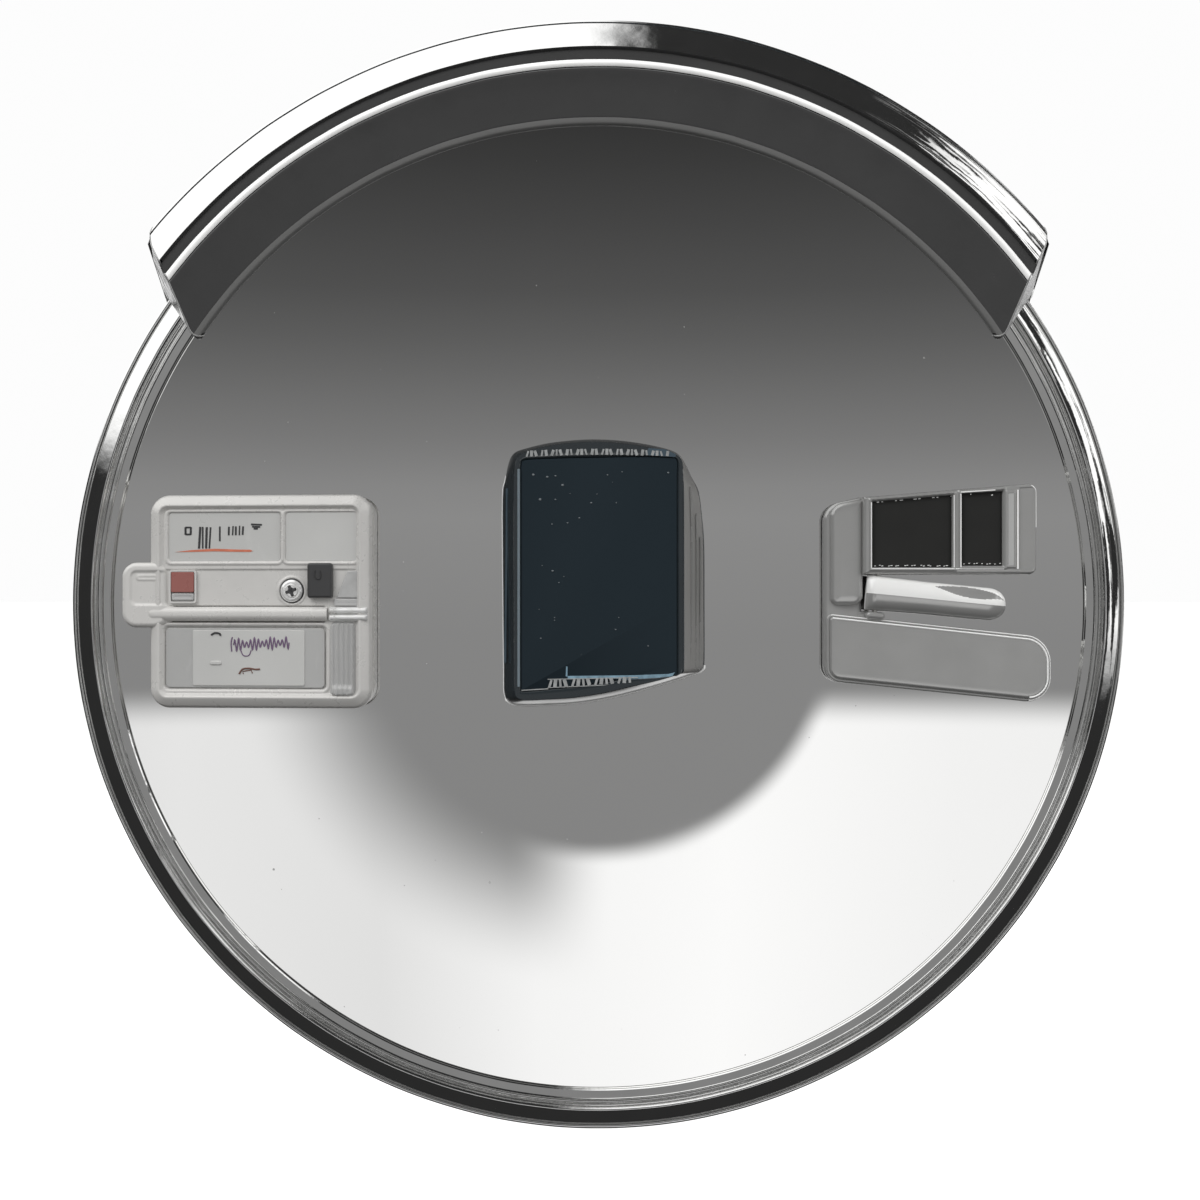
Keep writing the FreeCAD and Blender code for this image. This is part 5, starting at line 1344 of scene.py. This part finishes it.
grip_verts = []
GRIP_SIDES = 128
GRIP_STATIONS = 161
stations = []
for k in range(GRIP_STATIONS):
    x = -6.4 + 86.8 * k / (GRIP_STATIONS - 1)
    half = 9.8 + 0.8 * max(0.0, 1.0 - max(0.0, x) / 30.0)
    deep = 6.4
    if x > 68.0:
        t = (x - 68.0) / 12.4
        half *= math.sqrt(max(0.0, 1 - min(t, 1.0) ** 2.4)) * 0.98 + 0.02
        deep *= math.sqrt(max(0.0, 1 - min(t, 1.0) ** 2.0)) * 0.95 + 0.05
    if x < -1.0:
        deep *= math.sqrt(max(0.02, 1 - ((-1.0 - x) / 5.6) ** 2))
    stations.append((x, half, deep))
for x, half, deep in stations:
    for k in range(GRIP_SIDES):
        a = 2 * math.pi * k / GRIP_SIDES
        dent = 0.0
        lift = math.sin(a)
        if 40.0 < x < 74.0:
            dent = 0.9 * math.sin(math.pi * (x - 40.0) / 34.0) * math.exp(-((a - 0.95) / 0.30) ** 2)
        grip_verts.append(grip_place((x, (half - dent) * math.cos(a), (deep - dent) * lift)))
grip_faces = sweep_grid(len(stations), GRIP_SIDES, False, True)
grip_faces.append(tuple(range(GRIP_SIDES)))
grip_faces.append(tuple(range((len(stations) - 1) * GRIP_SIDES, len(stations) * GRIP_SIDES))[::-1])
lever = piece("lever_paddle", grip_verts, grip_faces, LEVER_HIGHLIGHT_WHITE, "grip", replaces=("grip_lever",),
              slot="housing_silver", sharp=60)
fix_winding(lever)
lever.data.materials.append(HOUSING_MID)
# the paddle's upper half stays bright white as a painted highlight; the lower half and a lens-shaped streak
# near the tip take the darker housing finish as painted shade and a painted dark reflection
DARK_REFLECTION_START = 34.0
DARK_REFLECTION_END = 79.0
for index, poly in enumerate(lever.data.polygons):
    station = index // GRIP_SIDES
    if station >= len(stations) - 1:
        continue
    turned = 2 * math.pi * (index % GRIP_SIDES + 0.5) / GRIP_SIDES
    reach = (stations[station][0] - DARK_REFLECTION_START) / (DARK_REFLECTION_END - DARK_REFLECTION_START)
    dark_reflection = 0.42 * math.sin(math.pi * reach) if 0 < reach < 1 else 0.0
    if turned > 1.62 or (dark_reflection and abs(turned - 0.72 - 0.35 * reach) < dark_reflection):
        poly.material_index = 1

# ------------------------------------------------------------------ CAD nodes that stay
FINISHES = (
    (GALV, 0.8, ("clamp_saddle", "clamp_strap", "pan_clevis", "swivel_block", "head_bracket", "inner_plate")),
    (ZINC, 0.4, ("clamp_bolts", "clamp_nuts", "pan_bolt", "pan_nut", "tilt_bolt", "tilt_nut", "bracket_bolts",
                 "bracket_nuts", "hood_screws", "hood_nuts", "grip_pin")),
    (BRONZE, 0.2, ("pan_bush", "tilt_bush")),
    (RUBBER, 0.0, ("dome_gasket", "edge_spacer", "left_pad", "centre_pad")),
    (BACK, 0.0, ("back_pan",)),
    (HOUSING, 0.8, ("left_tray",)),
    (LABEL_LIGHT, 0.3, ("left_label_upper", "left_blank_cover")),
    (BLACK, 0.6, ("left_switch", "centre_display")),
    (BOARD, 0.0, ("left_board", "centre_board", "right_board")),
)
for material, softness, names in FINISHES:
    for name in names:
        obj = nodes[name]
        obj.data.materials.clear()
        obj.data.materials.append(material)
        if softness:
            round_edges(obj, softness)

# ------------------------------------------------------------------ stage, light, camera
low = cad_box[0]
bpy.ops.mesh.primitive_circle_add(vertices=128, radius=FLOOR_RADIUS, fill_type="NGON",
                                  location=(0, 0, low[2] - FLOOR_DROP))
floor = bpy.context.object
floor.name = "floor"
floor.data.materials.append(finish_surface("floor_pale", (0.97, 0.97, 0.965), 0.9, mottle=0.005, grain=0.02,
                                           grain_scale=60))
floor.visible_glossy = False
floor.visible_diffuse = False

world = bpy.data.worlds.new("studio")
bpy.context.scene.world = world
world.use_nodes = True
wt = world.node_tree
wt.nodes.clear()


def wadd(kind, **values):
    node = wt.nodes.new(kind)
    for key, value in values.items():
        setattr(node, key, value)
    return node


def wmath(op, a, b=0.0, c=None):
    node = wadd("ShaderNodeMath", operation=op)
    for socket, value in zip(node.inputs, (a, b, c)):
        if value is None:
            continue
        if isinstance(value, (int, float)):
            socket.default_value = value
        else:
            wt.links.new(value, socket)
    return node.outputs[0]


def wstep(source, a, b, c=0.0, d=1.0):
    node = wadd("ShaderNodeMapRange", interpolation_type="SMOOTHSTEP")
    node.inputs["From Min"].default_value = a
    node.inputs["From Max"].default_value = b
    node.inputs["To Min"].default_value = c
    node.inputs["To Max"].default_value = d
    wt.links.new(source, node.inputs["Value"])
    return node.outputs[0]


def wramp(source, stops):
    """Piecewise-linear curve; stops are (value, level) with level linear."""
    first = stops[0][0]
    last = stops[-1][0]
    node = wadd("ShaderNodeValToRGB")
    ramp = node.color_ramp
    ramp.elements[0].position = 0.0
    ramp.elements[1].position = 1.0
    for value, level in stops[1:-1]:
        ramp.elements.new((value - first) / (last - first))
    for element, (value, level) in zip(ramp.elements, stops):
        element.position = (value - first) / (last - first)
        element.color = (level, level, level, 1.0)
    scaled = wmath("DIVIDE", wmath("SUBTRACT", source, first), last - first)
    wt.links.new(scaled, node.inputs[0])
    return node.outputs[0]


def wmix(factor, a, b):
    """Linear blend of two levels."""
    return wmath("ADD", wmath("MULTIPLY", a, wmath("SUBTRACT", 1.0, factor)), wmath("MULTIPLY", b, factor))


coord = wadd("ShaderNodeTexCoord")
split = wadd("ShaderNodeSeparateXYZ")
wt.links.new(coord.outputs["Generated"], split.inputs[0])
dx, dy, dz = split.outputs
deg = 180 / math.pi
elevation = wmath("MULTIPLY", wmath("ARCSINE", dz), deg)
azimuth = wmath("MULTIPLY", wmath("ARCTAN2", dx, wmath("MULTIPLY", dy, -1.0)), deg)
off_axis = wmath("MULTIPLY", wmath("ARCCOSINE", wmath("MULTIPLY", dy, -1.0)), deg)
clock = wmath("MULTIPLY", wmath("ARCTAN2", dz, dx), deg)

SKY_LEVELS = (
    (-20, 131), (-2, 132), (5, 137), (7, 133), (8.5, 126), (10, 119), (12, 111), (14, 102), (16, 93),
    (19, 81), (23, 71), (27, 61), (30, 54), (40, 44),
)
sky = wramp(elevation, [(angle, grey(level)) for angle, level in SKY_LEVELS])
ground = wramp(azimuth, ((-40, 0.70), (-26, 0.80), (-14, 0.76), (-4, 0.92), (8, 0.98), (22, 0.90),
                         (40, 0.86)))
below = wstep(elevation, -5.0, -7.6, 0.0, 1.0)
lobe_distance = wmath("SQRT", wmath("ADD", wmath("POWER", azimuth, 2.0),
                                    wmath("POWER", wmath("ADD", elevation, 1.0), 2.0)))
right_edge = wstep(lobe_distance, 13.6, 15.2)
left_edge = wstep(lobe_distance, 13.6, 23.0)
on_right = wstep(azimuth, -6.0, 1.0)
outside = wmix(on_right, left_edge, right_edge)
front = wmix(wmath("MULTIPLY", below, outside), sky, ground)

patch = wadd("ShaderNodeTexNoise")
patch.inputs["Scale"].default_value = 5.0
patch.inputs["Detail"].default_value = 3.0
wt.links.new(coord.outputs["Generated"], patch.inputs["Vector"])
flecks = wstep(patch.outputs["Fac"], 0.50, 0.56)
white_left = wmath("MULTIPLY", wstep(clock, 84.0, 92.0), wstep(clock, 166.0, 158.0))
wide = wstep(off_axis, 50.0, 62.0)
white_left = wmath("MULTIPLY", white_left, wide)
white_right = wmath("MULTIPLY", wmath("MULTIPLY", wstep(clock, -12.0, 0.0), wstep(clock, 62.0, 48.0)), flecks)
white_right = wmath("MULTIPLY", white_right, wstep(off_axis, 40.0, 50.0))
side_level = wmath("ADD", grey(48), wmath("MULTIPLY", wmath("MAXIMUM", white_left, white_right), 1.15))
reflected = wmix(wstep(off_axis, 31.0, 37.0), front, side_level)

rays = wadd("ShaderNodeLightPath")
soft = wstep(dz, -0.5, 0.9, 0.15, 1.25)
seen = wmix(rays.outputs["Is Camera Ray"], wmix(rays.outputs["Is Glossy Ray"], soft, reflected), 0.98)
background = wadd("ShaderNodeBackground")
wt.links.new(seen, background.inputs["Color"])
output = wadd("ShaderNodeOutputWorld")
wt.links.new(background.outputs[0], output.inputs[0])


def soft_light(name, place, target, size, watts):
    """Square area light aimed at a point and hidden from view and reflections."""
    data = bpy.data.lights.new(name, "AREA")
    data.shape = "SQUARE"
    data.size = size
    data.energy = watts
    light = bpy.data.objects.new(name, data)
    light.location = place
    light.rotation_euler = (Vector(target) - Vector(place)).to_track_quat("-Z", "Y").to_euler()
    light.visible_glossy = False
    light.visible_camera = False
    bpy.context.scene.collection.objects.link(light)


LIGHTS = (
    ("key", (-1.6, -2.0, 2.0), 1.6, 42),
    ("fill", (2.0, -1.6, 0.6), 1.8, 14),
    ("rear", (0.8, 2.2, 1.6), 1.6, 30),
)
middle = (0.0, RIM_Y * MM, 0.0)
for light_name, light_place, light_size, light_watts in LIGHTS:
    soft_light(light_name, light_place, middle, light_size, light_watts)

camera_data = bpy.data.cameras.new("camera")
camera_data.lens = LENS_MM
camera_data.sensor_width = 36.0
camera_data.clip_start = 0.05
camera = bpy.data.objects.new("camera", camera_data)
camera.location = (CAMERA_OFFSET[0] * MM, (RIM_Y - CAMERA_DISTANCE) * MM, CAMERA_OFFSET[1] * MM)
camera.rotation_euler = (math.radians(90), 0, 0)
bpy.context.scene.collection.objects.link(camera)
bpy.context.scene.camera = camera
bpy.context.scene.view_settings.view_transform = "Standard"

bpy.context.view_layer.update()
